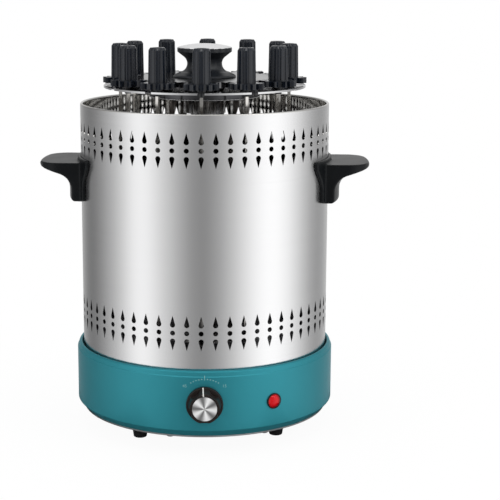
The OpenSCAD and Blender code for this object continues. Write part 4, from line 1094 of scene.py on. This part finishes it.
def add_lamp():
    """The pilot lamp: a dark bezel round a domed red lens."""
    place = facing_out(LAMP_AZIMUTH, LAMP_Z, BASE_R)
    lens_r = LAMP_LENS_R
    neck_r = LAMP_HOLE_R - 0.2
    foot = 0.05
    seat = 0.6
    edge = 1.25
    ring = rounded([(neck_r, -LAMP_DEPTH, 0), (neck_r, foot, 0), (LAMP_BEZEL_R, foot, 0.15),
                    (LAMP_BEZEL_R, edge, 0.6), (lens_r + 0.05, edge, 0.2), (lens_r + 0.05, seat, 0),
                    (0, seat, 0)])
    body = revolve([(0, -LAMP_DEPTH)] + ring, 72)
    put("lamp_bezel", mesh_of("lamp_bezel", body, "knob_plastic"), "root",
        ["lamp_body"], place)
    low = 0.65
    dome_r = (lens_r * lens_r + LAMP_DOME * LAMP_DOME) / 2 / LAMP_DOME
    half = math.degrees(math.asin(lens_r / dome_r))
    dome = arc((0, edge + LAMP_DOME - dome_r), dome_r, 90 - half, 90, 16)
    lens = revolve([(0, low), (lens_r, low)] + dome[:-1] + [(0, edge + LAMP_DOME)], 72)
    put("lamp_dome", mesh_of("lamp_dome", lens, "red_lens"), "root", ["lamp_lens"], place)


# Stage

def add_camera():
    """The photograph's camera."""
    data = bpy.data.cameras.new("camera")
    data.sensor_width = 36
    data.lens = CAMERA_LENS
    data.shift_x = CAMERA_SHIFT
    camera = new_object("camera", data)
    camera.location = (0, -CAMERA_DISTANCE, CAMERA_HEIGHT)
    camera.rotation_euler = (math.radians(90 - CAMERA_PITCH), 0, 0)
    bpy.context.scene.camera = camera


def area_light(name, place, aim, width, height, power):
    """A soft rectangular lamp at place, pointing at aim."""
    data = bpy.data.lights.new(name, "AREA")
    data.shape = "RECTANGLE"
    data.size = width
    data.size_y = height
    data.energy = power
    lamp = new_object(name, data)
    lamp.location = place
    lamp.rotation_euler = (Vector(aim) - Vector(place)).to_track_quat("-Z", "Y").to_euler()
    lamp.visible_glossy = False


# Light of the studio wall that the metal reflects: an even level, and soft boxes that each have
# a direction round the object (0 is the camera, 90 the right), a brightness and a half width
WALL_LEVEL = 0.09
SOFT_BOXES = [(-95, 0.27, 26), (-58, 0.82, 26), (-26, 0.24, 18), (63, 0.96, 48), (176, 0.53, 40)]
WALL_STOPS = 32
WALL_CONTRAST = 0.27
WALL_PEAK = 1.45


def only_reflected(thing):
    """Lets only reflections see a piece of the studio."""
    for ray in ("camera", "diffuse", "shadow", "transmission"):
        setattr(thing, f"visible_{ray}", False)


def wall_light(direction):
    """Brightness of the studio wall in a direction round the object."""
    level = WALL_LEVEL
    for middle, light, half_width in SOFT_BOXES:
        off = (direction - middle + 180) % 360 - 180
        level += light * math.exp(-(off / half_width) ** 2)
    return level * (1 + WALL_CONTRAST * (level - 0.3))


def add_walls():
    """A round studio wall of soft light and shade, seen in reflections and not by the camera."""
    bpy.ops.mesh.primitive_cylinder_add(vertices=128, radius=3, depth=8, end_fill_type="NOTHING")
    wall = bpy.context.object
    wall.name = "studio_wall"
    material, tree, glow = glowing("studio_wall", WALL_PEAK)
    place = add(tree, "ShaderNodeTexCoord")
    split = add(tree, "ShaderNodeSeparateXYZ")
    turn = add(tree, "ShaderNodeMath", operation="ARCTAN2")
    flip = add(tree, "ShaderNodeMath", operation="MULTIPLY")
    flip.inputs[1].default_value = -1
    share = add(tree, "ShaderNodeMath", operation="MULTIPLY_ADD")
    share.inputs[1].default_value = 1 / FULL
    share.inputs[2].default_value = 0.5
    ramp = add(tree, "ShaderNodeValToRGB")
    ramp.color_ramp.interpolation = "CARDINAL"
    stops = ramp.color_ramp.elements
    while len(stops) < WALL_STOPS:
        stops.new(0.5)
    for i, stop in enumerate(stops):
        stop.position = i / (WALL_STOPS - 1)
        glare = wall_light(360 * stop.position - 180) / WALL_PEAK
        stop.color = (glare, glare, glare, 1)
    links = tree.links
    links.new(place.outputs["Object"], split.inputs[0])
    links.new(split.outputs["X"], turn.inputs[0])
    links.new(split.outputs["Y"], flip.inputs[0])
    links.new(flip.outputs[0], turn.inputs[1])
    links.new(turn.outputs[0], share.inputs[0])
    links.new(share.outputs[0], ramp.inputs["Fac"])
    links.new(ramp.outputs["Color"], glow.inputs["Color"])
    wall.data.materials.append(material)
    only_reflected(wall)


def add_floor():
    """A pale floor: near the object it holds the shadow, and further out it runs into white."""
    bpy.ops.mesh.primitive_plane_add(size=30)
    floor = bpy.context.object
    floor.name = "floor"
    material, tree, shader = node_tree("floor", Roughness=0.9, Specular_IOR_Level=0.1)
    place = object_place(tree)
    tint(tree, shader, noise(tree, place, 0.7), (0.90, 0.90, 0.90), (0.92, 0.92, 0.92))
    reach = add(tree, "ShaderNodeVectorMath", operation="LENGTH")
    fade = add(tree, "ShaderNodeMapRange", interpolation_type="SMOOTHSTEP", From_Min=0.12,
               From_Max=0.42, To_Min=0.95)
    path = add(tree, "ShaderNodeLightPath")
    white = add(tree, "ShaderNodeEmission", Strength=1.0, Color=WHITE)
    share = add(tree, "ShaderNodeMath", operation="MULTIPLY")
    mix = add(tree, "ShaderNodeMixShader")
    links = tree.links
    links.new(place, reach.inputs[0])
    links.new(reach.outputs["Value"], fade.inputs["Value"])
    links.new(fade.outputs["Result"], share.inputs[0])
    links.new(path.outputs["Is Camera Ray"], share.inputs[1])
    links.new(share.outputs[0], mix.inputs["Fac"])
    links.new(shader.outputs[0], mix.inputs[1])
    links.new(white.outputs[0], mix.inputs[2])
    links.new(mix.outputs[0], tree.nodes["Material Output"].inputs["Surface"])
    floor.data.materials.append(material)
    floor.visible_glossy = False


def glow_panel(name, width, height, place, aim, level):
    """A plane of light that only reflections see, at place and facing aim."""
    bpy.ops.mesh.primitive_plane_add(size=1, location=place)
    panel = bpy.context.object
    panel.name = name
    panel.scale = (width, height, 1)
    panel.rotation_euler = (Vector(aim) - Vector(place)).to_track_quat("Z", "Y").to_euler()
    panel.data.materials.append(glowing(name, level)[0])
    only_reflected(panel)


def add_world():
    """White behind the object for camera, glossy and transmission rays, and a soft fill light."""
    world = bpy.data.worlds.new("world")
    bpy.context.scene.world = world
    world.use_nodes = True
    tree = world.node_tree
    tree.nodes.clear()
    path = add(tree, "ShaderNodeLightPath")
    seen = add(tree, "ShaderNodeMath", operation="MAXIMUM")
    any_ray = add(tree, "ShaderNodeMath", operation="MAXIMUM")
    fill = add(tree, "ShaderNodeBackground", Strength=0.62, Color=WHITE)
    white = add(tree, "ShaderNodeBackground", Strength=1.0, Color=WHITE)
    mix = add(tree, "ShaderNodeMixShader")
    out = add(tree, "ShaderNodeOutputWorld")
    links = tree.links
    links.new(path.outputs["Is Camera Ray"], seen.inputs[0])
    links.new(path.outputs["Is Glossy Ray"], seen.inputs[1])
    links.new(seen.outputs[0], any_ray.inputs[0])
    links.new(path.outputs["Is Transmission Ray"], any_ray.inputs[1])
    links.new(any_ray.outputs[0], mix.inputs["Fac"])
    links.new(fill.outputs[0], mix.inputs[1])
    links.new(white.outputs[0], mix.inputs[2])
    links.new(mix.outputs[0], out.inputs["Surface"])


def add_stage():
    """World, floor and walls, and the panels and lamps set up round the object."""
    add_world()
    add_floor()
    add_walls()
    # The dark that the downward faces at the foot of the base look into
    glow_panel("under_shade", 0.32, 0.32, (0, 0, -0.002), (0, 0, 1), 0.03)
    glow_panel("top_strip", 5, 0.3, (0, -1.3, 2.6), (0, 0, 0.15), 4)
    glow_panel("ceiling", 9, 9, (0, 0, 3.9), (0, 0, 0), 0.4)
    area_light("left_soft", (-1.5, -1.1, 1.5), (0, 0, 0.15), 1.2, 1.2, 11)
    area_light("right_soft", (1.6, -0.9, 1.4), (0, 0, 0.15), 1.2, 1.2, 15)
    area_light("top_soft", (0, 0.2, 2.2), (0, 0, 0.1), 1.6, 1.6, 14)
    bpy.context.scene.view_settings.view_transform = "Standard"


dress_nodes()
add_barrel()
add_base()
add_skewers()
add_dish()
add_lift_knob()
add_handles()
add_timer_knob()
add_dial()
add_lamp()
add_camera()
add_stage()

bpy.context.view_layer.update()
